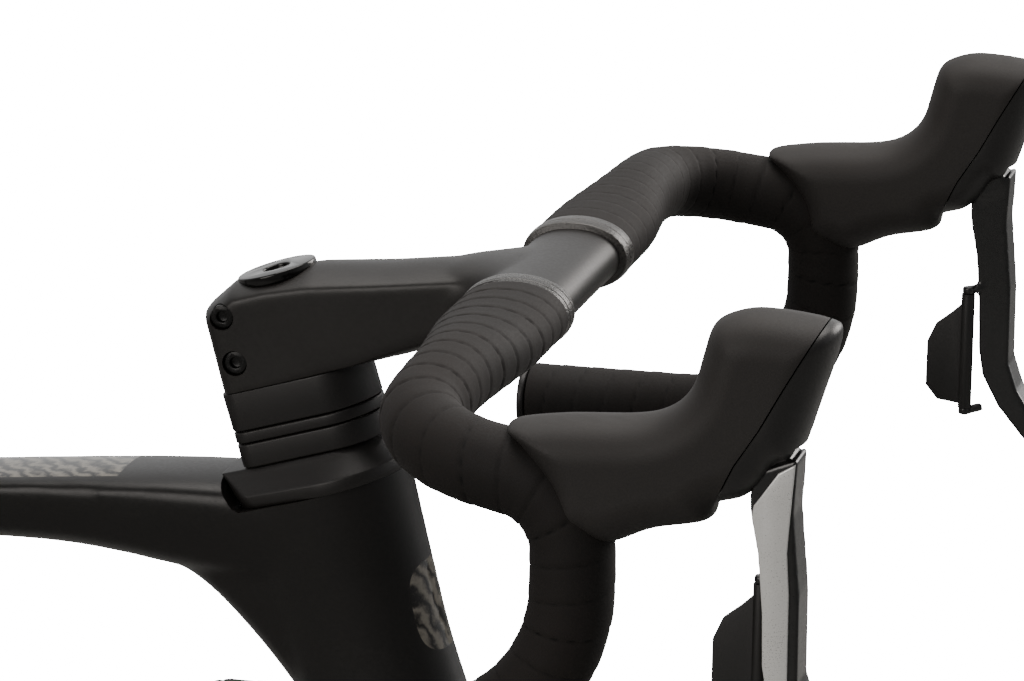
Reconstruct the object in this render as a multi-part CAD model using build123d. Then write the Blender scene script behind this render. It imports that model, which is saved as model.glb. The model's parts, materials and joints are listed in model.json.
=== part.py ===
from build123d import *
import os
from math import asin, atan2, cos, degrees, pi, radians, sin, sqrt, tau

# Road bicycle, millimetres. +X forward, +Y to the rider's left, +Z up.
# The origin is on the ground, midway between the wheels and in the plane of the frame.

# ---------------------------------------------------------------- driving dimensions
WHEEL_RADIUS = 339.0          # 28-622 tyre
WHEELBASE = 991.4
BB_HEIGHT = 269.0
BB_X = -91.8
HEAD_ANGLE = 73.0
SEAT_ANGLE = 73.5
HEAD_TOP = (298.2, 831.0)     # x, z of the head tube's top on the steering axis
HEAD_LENGTH = 155.0
RUNNING = 0.05                # radial clearance of a running fit
GAP = 0.3                     # clearance between parts that move past each other

TYRE_WIDTH_HALF = 10.9
RIM_TOP = 317.0
RIM_BED = 312.0
RIM_INNER = 270.0
RIM_HALF_WIDTH = 13.9
SPOKES_PER_SIDE = 12
SPOKE_RADIUS = 1.0
THRU_AXLE_RADIUS = 6.0

STEERER_RADIUS = 14.3
STEERER_BASE_RADIUS = 19.0
COVER_HEIGHT = 14.8
SPACER_HEIGHTS = (10.0, 5.0, 16.0)
STEM_HEIGHT = 37.7
STEM_HALF_WIDTH = 19.5
CAP_RADIUS = 15.7
CAP_THICKNESS = 3.8

BAR_TUBE_RADIUS = 11.9
TAPE_THICKNESS = 2.3
BAR_CENTRE = (108.9, 2.6)     # x, z from the top cap
WING_HALF_DEPTH = 18.2
WING_HALF_HEIGHT = 11.0
TAPE_START = 47.6
TOPS_END = 150.0
BEND_Y = 205.0
DROP_Y = 214.0
BEND_RADIUS, HOOK_RADIUS, DROP_RADIUS = 38.0, 26.0, 60.0
HOOK_X, HOOK_Z, DROP_Z = 173.5, -12.0, -106.0
BAR_END_X = 47.5

LEVER_Y = 212.0
HOOD_HALF_WIDTH = 16.5
HOOD_WALL = 2.5
LEVER_PIVOT = (243.0, 5.5)    # x, z from the top cap
LEVER_HALF_WIDTH = 8.0
PADDLE_Y = 202.5
PADDLE_PIN = (237.5, -43.0, -92.0)

POST_HALF_DEPTH, POST_HALF_WIDTH = 17.0, 11.0
SEAT_TUBE_TOP = 553.0
POST_TOP = 668.0
SADDLE_BASE = 962.0

BB_BORE = 20.5
BB_HALF_WIDTH = 43.0
SPINDLE_RADIUS = 12.0
CRANK_LENGTH = 172.5
CRANK_FACE = 73.0
BOLT_CIRCLE = 55.0
OUTER_TEETH, INNER_TEETH = 50, 34
COGS = (11, 12, 13, 14, 15, 17, 19, 21, 24, 27, 30)
COG_PITCH = 3.7
CHAIN_COG = 4                 # index of the cog that carries the chain
CHAIN_PLANE = -46.4
RING_GAP = 6.5
PITCH = 12.7
ROLLER_RADIUS = 3.6
PULLEY_TEETH = 12
PULLEY_SPACING = 56.0
HUB_HALF_FRONT, HUB_HALF_REAR = 50.0, 71.0
ROTOR_Y_FRONT, ROTOR_Y_REAR = 38.0, 55.5
ROTOR_RADIUS_FRONT, ROTOR_RADIUS_REAR = 80.0, 70.0

# ---------------------------------------------------------------- derived frame lines
FRONT_X, REAR_X = WHEELBASE / 2, -WHEELBASE / 2
AXLE_Z = WHEEL_RADIUS
HEAD = Vector(HEAD_TOP[0], 0, HEAD_TOP[1])
STEER_UP = Vector(-cos(radians(HEAD_ANGLE)), 0, sin(radians(HEAD_ANGLE)))
STEER_FRONT = Vector(sin(radians(HEAD_ANGLE)), 0, cos(radians(HEAD_ANGLE)))
SEAT_UP = Vector(-cos(radians(SEAT_ANGLE)), 0, sin(radians(SEAT_ANGLE)))
SEAT_FRONT = Vector(sin(radians(SEAT_ANGLE)), 0, cos(radians(SEAT_ANGLE)))
BB = Vector(BB_X, 0, BB_HEIGHT)
LEFT = Vector(0, 1, 0)
STACK = [0.0]
for part_height in (COVER_HEIGHT, *SPACER_HEIGHTS, STEM_HEIGHT, CAP_THICKNESS):
    STACK.append(STACK[-1] + part_height)
CAP_TOP = HEAD + STEER_UP * STACK[-1]


# ---------------------------------------------------------------- helpers
def save(name, *solids):
    os.makedirs("parts", exist_ok=True)
    flat = [s for shape in solids for s in shape.solids()]
    export_step(flat[0] if len(flat) == 1 else Compound(children=flat), f"parts/{name}.step")


def steer(s, forward=0.0, y=0.0):
    """A point at height s up the steering axis and a distance ahead of it."""
    return HEAD + STEER_UP * s + STEER_FRONT * forward + LEFT * y


def seat(t, forward=0.0, y=0.0):
    """A point at height t up the seat tube's axis from the bottom bracket."""
    return BB + SEAT_UP * t + SEAT_FRONT * forward + LEFT * y


def cockpit(x, y, z):
    """A point measured from the centre of the top cap."""
    return CAP_TOP + Vector(x, y, z)


def rod(start, end, radius, bore=0.0):
    a, b = Vector(start), Vector(end)
    plane = Plane(origin=a, z_dir=b - a)
    profile = plane * Circle(radius)
    if bore:
        profile -= plane * Circle(bore)
    return extrude(profile, (b - a).length)


def cross(centre, y0, y1, radius, bore=0.0):
    """A cylinder across the bicycle, round the point centre = (x, z)."""
    return rod((centre[0], y0, centre[1]), (centre[0], y1, centre[1]), radius, bore)


def plate(points, y0, y1):
    """A flat plate in the plane of the frame, from its (x, z) outline."""
    plane = Plane(origin=(0, y1, 0), x_dir=(1, 0, 0), z_dir=(0, -1, 0))
    return extrude(plane * make_face(Polyline(*points, close=True)), y1 - y0)


def both(solid):
    return [solid, mirror(solid, about=Plane.XZ)]


def tube(stations):
    """A loft through ellipses: centre, direction of rx, normal, rx, ry."""
    faces = [Plane(origin=c, x_dir=x, z_dir=n) * Ellipse(rx, ry) for c, x, n, rx, ry in stations]
    return loft(faces)


def hull(*circles):
    """The flat face inside a band stretched round circles: x, y, radius."""
    edges = [e for x, y, r in circles for e in (Pos(x, y) * Circle(r)).edges()]
    face = make_hull(edges).face()
    return face if face.normal_at().Z > 0 else -face


def stadium(a, b, ra, rb, y0, y1):
    """A plate with two round ends, at the (x, z) points a and b."""
    plane = Plane(origin=(0, y1, 0), x_dir=(1, 0, 0), z_dir=(0, -1, 0))
    return extrude(plane * hull((*a, ra), (*b, rb)), y1 - y0)


def turned(centre, profile):
    """A body turned round an axle across the bicycle, from (y, radius) points."""
    plane = Plane(origin=(centre[0], 0, centre[1]), x_dir=(0, 1, 0), z_dir=(1, 0, 0))
    axis = Axis((centre[0], 0, centre[1]), (0, 1, 0))
    return revolve(plane * make_face(Polyline(*profile, close=True)), axis)


def polar(centre, radius, angle):
    return (centre[0] + radius * cos(angle), centre[1] + radius * sin(angle))


# ---------------------------------------------------------------- frame
HEAD_SECTIONS = ((0, 30, -44, 28), (-40, 27.5, -42, 24.5), (-75, 26.2, -39, 23.5), (-155, 31, -36, 30))
TOP_TUBE_SECTIONS = (
    (288, 810.0, 25.0, 25.0), (240, 810.5, 21.2, 24.5), (163, 809.7, 13.9, 21.5),
    (0, 793.8, 12.8, 18.0), (-150, 778.4, 12.4, 15.0), (-238, 768.0, 13.6, 13.0))
SEAT_SECTIONS = ((0, 20, 20), (60, 20.5, 16.5), (300, 20.5, 13.6), (SEAT_TUBE_TOP, 21, 14))
DOWN_SECTIONS = ((0.0, 26, 22), (0.25, 28, 19.5), (0.72, 27, 20), (0.97, 24, 27))
SHELL_RADIUS = 24.0
TUBE_WALL = 2.5


def head_tube_skin():
    return tube([(steer(s, (f + r) / 2), STEER_FRONT, STEER_UP, (f - r) / 2, w)
                 for s, f, r, w in HEAD_SECTIONS])


UPPER_BEARING, LOWER_BEARING = 23.5, 26.0
BEARING_HEIGHT = 7.0


def head_tube(skin):
    bore = rod(steer(-HEAD_LENGTH - 1), steer(1), STEERER_BASE_RADIUS + 2)
    upper = rod(steer(-BEARING_HEIGHT - 2.5), steer(1), UPPER_BEARING)
    lower = rod(steer(-HEAD_LENGTH - 1), steer(-HEAD_LENGTH + BEARING_HEIGHT + 1.5), LOWER_BEARING)
    return skin - bore - upper - lower


def seat_tube_skin():
    stays = tube([(seat(t), SEAT_FRONT, SEAT_UP, rx, ry) for t, rx, ry in SEAT_SECTIONS])
    shell = cross((BB.X, BB.Z), -BB_HALF_WIDTH, BB_HALF_WIDTH, SHELL_RADIUS)
    return stays + shell


def seat_tube(skin):
    post = Plane(origin=seat(330), x_dir=SEAT_FRONT, z_dir=SEAT_UP)
    pocket = extrude(post * Ellipse(POST_HALF_DEPTH + 0.15, POST_HALF_WIDTH + 0.15), SEAT_TUBE_TOP)
    low = Plane(origin=seat(36), x_dir=SEAT_FRONT, z_dir=SEAT_UP)
    hollow = extrude(low * Ellipse(16.5, 10.5), 295)
    bore = cross((BB.X, BB.Z), -BB_HALF_WIDTH - 1, BB_HALF_WIDTH + 1, BB_BORE)
    tube_body = skin - pocket - hollow - bore
    for t in (150, 214):
        tube_body = bottle_boss(tube_body, seat(t, 20.5), SEAT_FRONT)
    return tube_body


BOSS_RADIUS, BOSS_HOLE, BOSS_LENGTH = 5.0, 2.1, 12.0


def bottle_boss(solid, mouth, outward):
    inner = Vector(mouth) - Vector(outward) * BOSS_LENGTH
    boss = rod(inner, Vector(mouth) + Vector(outward) * 0.8, BOSS_RADIUS)
    hole = rod(inner - Vector(outward), Vector(mouth) + Vector(outward) * 3, BOSS_HOLE)
    return solid + boss - hole


def top_tube(head_skin, seat_skin):
    forward, across = Vector(-1, 0, 0), Vector(0, 1, 0)

    def skin(sections, wall):
        return tube([((x, 0, z), across, forward, w - wall, h - wall) for x, z, h, w in sections])

    hollow = skin(TOP_TUBE_SECTIONS[1:], TUBE_WALL)
    plane = Plane(origin=steer(0), x_dir=STEER_FRONT, z_dir=STEER_UP)
    pocket = extrude(plane * cover_outline(0.4), 40)
    above = extrude(plane * Pos(35, 0) * Rectangle(90, 80), 40)
    return skin(TOP_TUBE_SECTIONS, 0) - hollow - head_skin - seat_skin - pocket - above


DOWN_START = steer(-104)
DOWN_DIR = (BB - DOWN_START).normalized()
DOWN_SIDE = DOWN_DIR.cross(LEFT).normalized()
DOWN_LENGTH = (BB - DOWN_START).length


def down_tube(head_skin, seat_skin):
    def skin(sections, wall):
        return tube([(DOWN_START + DOWN_DIR * (q * DOWN_LENGTH), DOWN_SIDE, DOWN_DIR, a - wall, b - wall)
                     for q, a, b in sections])

    crown_room = rod(steer(-HEAD_LENGTH - 20), steer(-HEAD_LENGTH - 0.4), 42)
    body = skin(DOWN_SECTIONS, 0) - skin(DOWN_SECTIONS[1:], TUBE_WALL) - head_skin - seat_skin - crown_room
    above = DOWN_SIDE if DOWN_SIDE.Z > 0 else -DOWN_SIDE
    for q in (0.62, 0.62 + 64 / DOWN_LENGTH):
        centre = DOWN_START + DOWN_DIR * (q * DOWN_LENGTH)
        body = bottle_boss(body, centre + above * 27.0, above)
    return body


CHAINSTAY = ((-104, 26, 265, 9, 20), (-215, 31, 283, 8, 14), (-350, 56, 310, 7, 11),
             (-425, 69.5, 325, 6.5, 10), (-484, 75, 336, 4, 9))
SEATSTAY = ((-200, 12, 627, 7, 11), (-258, 28, 572, 6.5, 10), (-370, 54, 464, 6, 9),
            (-440, 71, 397, 5.5, 8.5), (-484, 75, 355, 4, 8))
HANGER_BOLT = (REAR_X - 8, AXLE_Z - 29)
DROPOUT_WIDTH = 7.0


def chainstays(seat_skin):
    across = Vector(0, 1, 0)
    stay = tube([((x, y, z), across, (-1, 0, 0), ry, rz) for x, y, z, ry, rz in CHAINSTAY])
    axle = (REAR_X, AXLE_Z)
    dropout = cross(axle, HUB_HALF_REAR, HUB_HALF_REAR + DROPOUT_WIDTH, 17)
    hole = cross(axle, HUB_HALF_REAR - 9, HUB_HALF_REAR + 12, THRU_AXLE_RADIUS)
    left = stay - seat_skin + dropout - hole
    right = mirror(left, about=Plane.XZ)
    hanger = stadium(axle, HANGER_BOLT, 13, 10, -HUB_HALF_REAR - DROPOUT_WIDTH, -HUB_HALF_REAR)
    hanger -= cross(HANGER_BOLT, -90, -60, 5)
    right = right + hanger - mirror(hole, about=Plane.XZ)
    return left, right


def seatstays(seat_skin, stays):
    along = Vector(-0.7236, 0, -0.690)
    stay = tube([((x, y, z), LEFT, along, ry, rn) for x, y, z, ry, rn in SEATSTAY])
    left = stay - seat_skin - stays[0]
    right = mirror(stay, about=Plane.XZ) - seat_skin - stays[1]
    return left, right


def cartridge_bearings():
    top = rod(steer(-BEARING_HEIGHT - 2.5), steer(-2.5), UPPER_BEARING, STEERER_RADIUS + RUNNING)
    low = -HEAD_LENGTH + 1.5
    bottom = rod(steer(low), steer(low + BEARING_HEIGHT), LOWER_BEARING, STEERER_BASE_RADIUS + RUNNING)
    cup = cross((BB.X, BB.Z), BB_HALF_WIDTH - 7, BB_HALF_WIDTH, BB_BORE, SPINDLE_RADIUS + RUNNING)
    return top, bottom, *both(cup)


def cover_outline(grow=0.0):
    return hull((2.2, 0, 27.8 + grow), (-36.4, 9, 10 + grow), (-36.4, -9, 10 + grow))


def headset_cover():
    low, high = (Plane(origin=steer(s), x_dir=STEER_FRONT, z_dir=STEER_UP) for s in (0, COVER_HEIGHT))
    body = loft([low * cover_outline(), high * cover_outline(-1)])
    return body - rod(steer(-1), steer(30), STEERER_RADIUS + GAP)


# ---------------------------------------------------------------- seat
def seatpost():
    plane = Plane(origin=seat(440), x_dir=SEAT_FRONT, z_dir=SEAT_UP)
    post = extrude(plane * Ellipse(POST_HALF_DEPTH, POST_HALF_WIDTH), POST_TOP - 440)
    head = cross((seat(POST_TOP).X, seat(POST_TOP).Z), -16, 16, 16)
    return post + head


def seatpost_clamp():
    plane = Plane(origin=seat(SEAT_TUBE_TOP), x_dir=SEAT_FRONT, z_dir=SEAT_UP)
    ring = plane * Ellipse(POST_HALF_DEPTH + 5, POST_HALF_WIDTH + 4)
    ring -= plane * Ellipse(POST_HALF_DEPTH + RUNNING, POST_HALF_WIDTH + RUNNING)
    return extrude(ring, 11)


RAIL_Y, RAIL_RADIUS = 22.0, 3.5
RAIL_LOW = 941.0


def saddle_rails():
    rails = []
    for side in (1, -1):
        points = [(-178, side * 9, SADDLE_BASE + 2), (-215, side * 13, 952), (-250, side * RAIL_Y, RAIL_LOW),
                  (-345, side * RAIL_Y, RAIL_LOW), (-392, side * 30, SADDLE_BASE + 6)]
        path = FilletPolyline(*points, radius=22)
        rails.append(sweep(Plane(origin=path @ 0, z_dir=path % 0) * Circle(RAIL_RADIUS), path))
    return rails


SADDLE_SECTIONS = ((-152, 12, 9), (-175, 21, 14), (-235, 27, 16), (-290, 45, 17), (-345, 69, 18),
                   (-385, 71, 17), (-402, 52, 12))


def saddle_skin(shrink):
    return tube([((x, 0, SADDLE_BASE + 8), LEFT, (-1, 0, 0), w - shrink, h - shrink)
                 for x, w, h in SADDLE_SECTIONS])


SHELL_WALL = 3.0


def saddle_cover(skin, rails):
    cover = skin - Pos(-280, 0, SADDLE_BASE - 30) * Box(400, 200, 60 + 2 * SHELL_WALL)
    for rail in rails:
        cover -= rail
    return cover


def saddle_shell(skin, rails):
    band = Pos(-280, 0, SADDLE_BASE) * Box(400, 200, 2 * SHELL_WALL)
    shell = skin & band
    for rail in rails:
        shell -= rail
    return shell


def saddle_clamp(rails, post):
    x, z = seat(POST_TOP).X, seat(POST_TOP).Z
    yoke = Pos(x, 0, RAIL_LOW - 6.5) * Box(42, 58, 27) - post
    for rail in rails:
        yoke -= rail
    return yoke, *both(cross((x, z), 16, 22, 8))


# ---------------------------------------------------------------- fork and headset
CROWN_TOP = -HEAD_LENGTH - 1.0
FORK_TOP = steer(-178)
FRONT_AXLE = (FRONT_X, AXLE_Z)


def steerer():
    top = STACK[-1] - CAP_THICKNESS - 3
    upper = rod(steer(-90), steer(top), STEERER_RADIUS)
    plane_low = Plane(origin=steer(-HEAD_LENGTH + 12), x_dir=STEER_FRONT, z_dir=STEER_UP)
    plane_high = Plane(origin=steer(-90), x_dir=STEER_FRONT, z_dir=STEER_UP)
    cone = loft([plane_low * Circle(STEERER_BASE_RADIUS), plane_high * Circle(STEERER_RADIUS)])
    base = rod(steer(CROWN_TOP), steer(-HEAD_LENGTH + 12), STEERER_BASE_RADIUS)
    crown = tube([(steer(CROWN_TOP), STEER_FRONT, -STEER_UP, 31, 30),
                  (steer(CROWN_TOP - 14), STEER_FRONT, -STEER_UP, 30, 38),
                  (steer(CROWN_TOP - 38), STEER_FRONT, -STEER_UP, 26, 50)])
    arch = cross(FRONT_AXLE, -23, 23, WHEEL_RADIUS + 6)
    bore = rod(steer(CROWN_TOP + 4), steer(top + 1), STEERER_RADIUS - 2.8)
    return upper + cone + base + crown - arch - bore


BLADE = ((FORK_TOP.X, 39, FORK_TOP.Z, 22, 8), (402, 45.5, 545, 18, 7.5), (460, 53, 418, 13, 7),
         (493, 55.2, 345, 9, 5.3))


def fork_blades(crown):
    along = Vector(-0.41, 0, 0.912)
    forward = Vector(0.912, 0, 0.41)
    blade = tube([((x, y, z), forward, -along, rx, ry) for x, y, z, rx, ry in BLADE])
    tip = cross(FRONT_AXLE, HUB_HALF_FRONT, HUB_HALF_FRONT + 11, 14)
    inside = cross(FRONT_AXLE, 0, HUB_HALF_FRONT, 20)
    hole = cross(FRONT_AXLE, HUB_HALF_FRONT - 9, HUB_HALF_FRONT + 20, THRU_AXLE_RADIUS)
    left = blade + tip - inside - hole
    return [side - crown for side in both(left)]


def thru_axle(centre, half, head):
    shaft = cross(centre, -half - head, half + head, THRU_AXLE_RADIUS - RUNNING)
    return shaft + cross(centre, half + head, half + head + 3.5, 9)


def spacer_outline():
    return hull((8, 0, 18.9), (-25.0, 12, 6.5), (-25.0, -12, 6.5)) - Circle(STEERER_RADIUS + RUNNING)


def headset_spacers():
    spacers = []
    for low, high in zip(STACK[1:4], STACK[2:5]):
        base = low + (GAP if low == STACK[1] else 0)
        plane = Plane(origin=steer(base), x_dir=STEER_FRONT, z_dir=STEER_UP)
        spacers.append(extrude(plane * spacer_outline(), high - base))
    return spacers


# ---------------------------------------------------------------- cockpit
def stem_point(along, forward):
    """(x, z) from the top cap, at a depth below it and a distance ahead of the steering axis."""
    p = -STEER_UP * along + STEER_FRONT * forward
    return (p.X, p.Z)


def in_frame(points):
    return [(CAP_TOP.X + x, CAP_TOP.Z + z) for x, z in points]


def stem(bar):
    low = STACK[-1] - STACK[4]
    side = [stem_point(8.4, -29.5), stem_point(CAP_THICKNESS, -15.9), stem_point(CAP_THICKNESS, 15.9),
            (47, 5.4), (79, 9.6), (100, 13.2), (104, -7.6), (82, -18), (56.8, -27), stem_point(low, 24),
            stem_point(low, -30.6)]
    body = plate(in_frame(side), -STEM_HALF_WIDTH, STEM_HALF_WIDTH)
    edges = body.edges().filter_by(lambda e: abs(abs(e.center().Y) - STEM_HALF_WIDTH) < 0.01)
    body = fillet(edges, 4)
    body -= rod(steer(STACK[4] - 5), steer(STACK[-1] + 5), STEERER_RADIUS + RUNNING)
    slot = Plane(origin=steer(STACK[4] - 1), x_dir=STEER_FRONT, z_dir=STEER_UP)
    body -= extrude(slot * Pos(-24, 0) * Rectangle(24, 1.6), 30)
    for s in STEM_BOLTS:
        body -= rod(steer(s, -20.5, -25), steer(s, -20.5, 25), 2.6)
        body -= rod(steer(s, -20.5, -25), steer(s, -20.5, -STEM_HALF_WIDTH + 5), 5.0)
    return body - bar


STEM_BOLTS = (STACK[-1] - 11.4, STACK[-1] - 30.1)


def stem_bolts():
    bolts = []
    for s in STEM_BOLTS:
        shank = rod(steer(s, -20.5, -STEM_HALF_WIDTH + 5), steer(s, -20.5, 15), 2.5)
        head = rod(steer(s, -20.5, -STEM_HALF_WIDTH + 5), steer(s, -20.5, -STEM_HALF_WIDTH + 1), 4.6)
        socket = rod(steer(s, -20.5, -STEM_HALF_WIDTH + 3), steer(s, -20.5, -STEM_HALF_WIDTH), 2.2)
        bolts.append(shank + head - socket)
    return bolts


def top_cap():
    top = STACK[-1]
    cap = rod(steer(top - CAP_THICKNESS), steer(top), CAP_RADIUS)
    plug = rod(steer(top - 45), steer(top - CAP_THICKNESS), STEERER_RADIUS - 2.8 - RUNNING)
    recess = rod(steer(top - 2), steer(top + 1), 5.4)
    socket = rod(steer(top - 6), steer(top), 2.6)
    return cap + plug - recess - socket


def bar_path():
    points = [cockpit(BAR_CENTRE[0], TOPS_END, BAR_CENTRE[1]), cockpit(BAR_CENTRE[0], BEND_Y, -2),
              cockpit(HOOK_X, DROP_Y, HOOK_Z), cockpit(HOOK_X, DROP_Y + 0.5, DROP_Z),
              cockpit(BAR_END_X, DROP_Y + 2, DROP_Z - 2)]
    return FilletPolyline(*points, radius=[BEND_RADIUS, HOOK_RADIUS, DROP_RADIUS])


def drop_tube(radius):
    path = bar_path()
    return sweep(Plane(origin=path @ 0, z_dir=path % 0) * Circle(radius), path)


def wing(extra, inner_end):
    """The flat top of the bar, from inner_end to the start of the bend."""
    path = bar_path()
    x_dir = Vector(1, 0, 0)
    mid = WING_HALF_DEPTH + extra, WING_HALF_HEIGHT + extra
    end = BAR_TUBE_RADIUS + extra
    stations = [(cockpit(BAR_CENTRE[0], y, BAR_CENTRE[1]), x_dir, LEFT, *mid) for y in (inner_end, 80)]
    stations.append((path @ 0, x_dir, path % 0, end, end))
    return tube(stations)


def handlebar():
    half = wing(0, 0) + drop_tube(BAR_TUBE_RADIUS)
    path = bar_path()
    half -= rod(path @ 1, (path @ 1) - (path % 1) * 24, BAR_TUBE_RADIUS - 2)
    return half + mirror(half, about=Plane.XZ)


def bar_end_plug():
    path = bar_path()
    end, along = path @ 1, path % 1
    head = rod(end, end + along * 3.5, BAR_TUBE_RADIUS + TAPE_THICKNESS)
    stub = rod(end - along * 20, end, BAR_TUBE_RADIUS - 2 - RUNNING)
    return head + stub


def bar_tape(hood_solid):
    full = wing(TAPE_THICKNESS, TAPE_START) + drop_tube(BAR_TUBE_RADIUS + TAPE_THICKNESS)
    core = wing(0, 0) + drop_tube(BAR_TUBE_RADIUS)
    return full - core - hood_solid


HOOD_OUTLINE = ((149.5, 9.6), (167.7, 13.9), (195.5, 16.4), (207.4, 20.8), (214.4, 28.8), (217.8, 40.7),
                (221.3, 51.1), (229.2, 55.6), (239.8, 57.1), (260, 54.9), (264.8, 49.6), (258.5, 26.4),
                (252.1, 7.5), (246.1, 4), (241.2, -3.4), (234.5, -8.9), (225.3, -11.9), (220.8, -18.4),
                (202.4, -22.8), (187.2, -29.2), (175.7, -27.3), (167.3, -22.7), (164.1, -9.9),
                (156.4, 1.3))
SEAM = ((258, 60), (248.5, 33.4), (240.7, 18.8), (232.5, 5.8), (223.5, -13), (223.5, -30), (300, -30),
        (300, 60))
CAVITY = ((256.5, 12.5), (256.5, -30), (224.5, -30), (224.5, -13), (233.5, 6))
LEVER_TOP = ((252.8, 10), (251.8, -12), (252.6, -20), (237.8, -20), (236, -12), (237.5, 2))
LEVER_BLADE = ((252.1, -15), (253, -25), (254.5, -40), (254.8, -72), (259, -84), (268, -98), (279, -110),
               (275, -114), (262, -104), (251, -91), (244, -78), (242, -66), (241.5, -47), (239.8, -27),
               (237, -15))
PADDLE = ((238, -44.5), (230.6, -51.6), (224.4, -56.6), (221.1, -64.1), (221, -83), (226, -89),
          (238, -90.5))


def hood_parts(bar):
    """The hard bracket, the rubber hood over it and the lever's cavity, on the left side."""
    y0, y1 = LEVER_Y - HOOD_HALF_WIDTH, LEVER_Y + HOOD_HALF_WIDTH
    outline = in_frame(HOOD_OUTLINE)
    full = plate(outline, y0, y1)
    front = full & plate(in_frame(SEAM), y0, y1)
    inner = offset(make_face(Polyline(*outline, close=True)), -HOOD_WALL, kind=Kind.INTERSECTION)
    plane = Plane(origin=(0, y1 - HOOD_WALL, 0), x_dir=(1, 0, 0), z_dir=(0, -1, 0))
    core = extrude(plane * inner, 2 * (HOOD_HALF_WIDTH - HOOD_WALL))
    pivot = in_frame([LEVER_PIVOT])[0]
    half = LEVER_HALF_WIDTH + 0.6
    cavity = plate(in_frame(CAVITY), LEVER_Y - half, LEVER_Y + half)
    cavity += cross(pivot, LEVER_Y - half, LEVER_Y + half, 9.5)
    pin = cross(pivot, LEVER_Y - HOOD_HALF_WIDTH + 1, LEVER_Y + HOOD_HALF_WIDTH - 1, 2)
    bracket = (core + front - bar - cavity) + pin
    hood = full - front - core - bar - cavity
    return bracket, hood, full


def brake_lever():
    pivot = in_frame([LEVER_PIVOT])[0]
    half = LEVER_HALF_WIDTH
    top = plate(in_frame(LEVER_TOP), LEVER_Y - half, LEVER_Y + half)
    top += cross(pivot, LEVER_Y - half, LEVER_Y + half, 7)
    blade = plate(in_frame(LEVER_BLADE), LEVER_Y - half + 1, LEVER_Y + half + 2)
    px, z_top, z_low = PADDLE_PIN
    lever = top + blade - cross(pivot, LEVER_Y - 30, LEVER_Y + 30, 2 + RUNNING)
    lever += rod(cockpit(px, PADDLE_Y, z_low - 4), cockpit(px, PADDLE_Y, z_top + 4), 1.2)
    for z in (z_top + 3, z_low - 3):
        lug = Pos(*cockpit(px + 4, (PADDLE_Y + LEVER_Y) / 2 - 2, z)) * Box(15, 11, 4)
        lever += lug
    return lever


def shift_paddle():
    px, z_top, z_low = PADDLE_PIN
    blade = plate(in_frame(PADDLE), PADDLE_Y - 1.5, PADDLE_Y + 1.5)
    barrel = rod(cockpit(px, PADDLE_Y, z_low), cockpit(px, PADDLE_Y, z_top), 2.8)
    return blade + barrel - rod(cockpit(px, PADDLE_Y, z_low - 9), cockpit(px, PADDLE_Y, z_top + 9), 1.27)


# ---------------------------------------------------------------- wheels
def tyre(centre):
    top, bead = RIM_TOP, RIM_BED
    wide, wall = TYRE_WIDTH_HALF, 2.5
    plane = Plane(origin=(centre[0], 0, centre[1]), x_dir=(0, 1, 0), z_dir=(1, 0, 0))
    inner = wide - wall
    lines = [Line((wide, bead), (wide, top)), ThreePointArc((wide, top), (0, WHEEL_RADIUS), (-wide, top)),
             Line((-wide, top), (-wide, bead)), Line((-wide, bead), (-inner, bead)),
             Line((-inner, bead), (-inner, top)),
             ThreePointArc((-inner, top), (0, WHEEL_RADIUS - wall), (inner, top)),
             Line((inner, top), (inner, bead)), Line((inner, bead), (wide, bead))]
    return revolve(plane * make_face(Wire(lines)), Axis((centre[0], 0, centre[1]), (0, 1, 0)))


def rim(centre):
    w = RIM_HALF_WIDTH
    outer = [(-w, RIM_TOP), (-w - 0.6, 303), (-w + 1, 286), (-7.5, 273), (0, RIM_INNER), (7.5, 273),
             (w - 1, 286), (w + 0.6, 303), (w, RIM_TOP), (TYRE_WIDTH_HALF, RIM_TOP),
             (TYRE_WIDTH_HALF, RIM_BED), (-TYRE_WIDTH_HALF, RIM_BED), (-TYRE_WIDTH_HALF, RIM_TOP)]
    hollow = [(-w + 2, RIM_BED - 2.5), (-w + 1.6, 303), (-w + 3.2, 287), (-6, 275.5), (6, 275.5),
              (w - 3.2, 287), (w - 1.6, 303), (w - 2, RIM_BED - 2.5)]
    body = turned(centre, outer) - turned(centre, hollow)
    low = (centre[0], 0, centre[1] - RIM_INNER + 6)
    high = (centre[0], 0, centre[1] - RIM_BED - 1)
    valve = rod((centre[0], 0, centre[1] - RIM_INNER + 38), (centre[0], 0, centre[1] - RIM_BED), 3)
    return body - rod(low, high, 3 + RUNNING), valve


def spokes(centre, rim_body, left_flange, right_flange):
    solids = []
    for flange_y, flange_r, side in ((*left_flange, 1), (*right_flange, -1)):
        for i in range(SPOKES_PER_SIDE):
            angle = tau * (i + (0.25 if side < 0 else 0) + 0.25) / SPOKES_PER_SIDE
            lean = radians(62) * (1 if i % 2 else -1)
            y = flange_y + (1.25 if i % 2 else -1.25)
            hub = polar(centre, flange_r + 1.4, angle - lean)
            rim_end = polar(centre, RIM_INNER + 3, angle)
            spoke = rod((hub[0], y, hub[1]), (rim_end[0], side * 2, rim_end[1]), SPOKE_RADIUS)
            solids.append(spoke - rim_body)
    return solids


def rotor(centre, radius, y, seat_radius):
    half = 0.9
    plane = Plane(origin=(centre[0], y + half, centre[1]), x_dir=(1, 0, 0), z_dir=(0, -1, 0))
    disc = Circle(radius) - Circle(radius - 14)
    disc += Circle(seat_radius + 8) - Circle(seat_radius)
    for k in range(6):
        arm = Rot(0, 0, 60 * k) * Pos((radius + seat_radius) / 2 - 2, 4) * Rectangle(radius - seat_radius - 12, 7)
        disc += arm
    return extrude(plane * disc, 2 * half)


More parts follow.
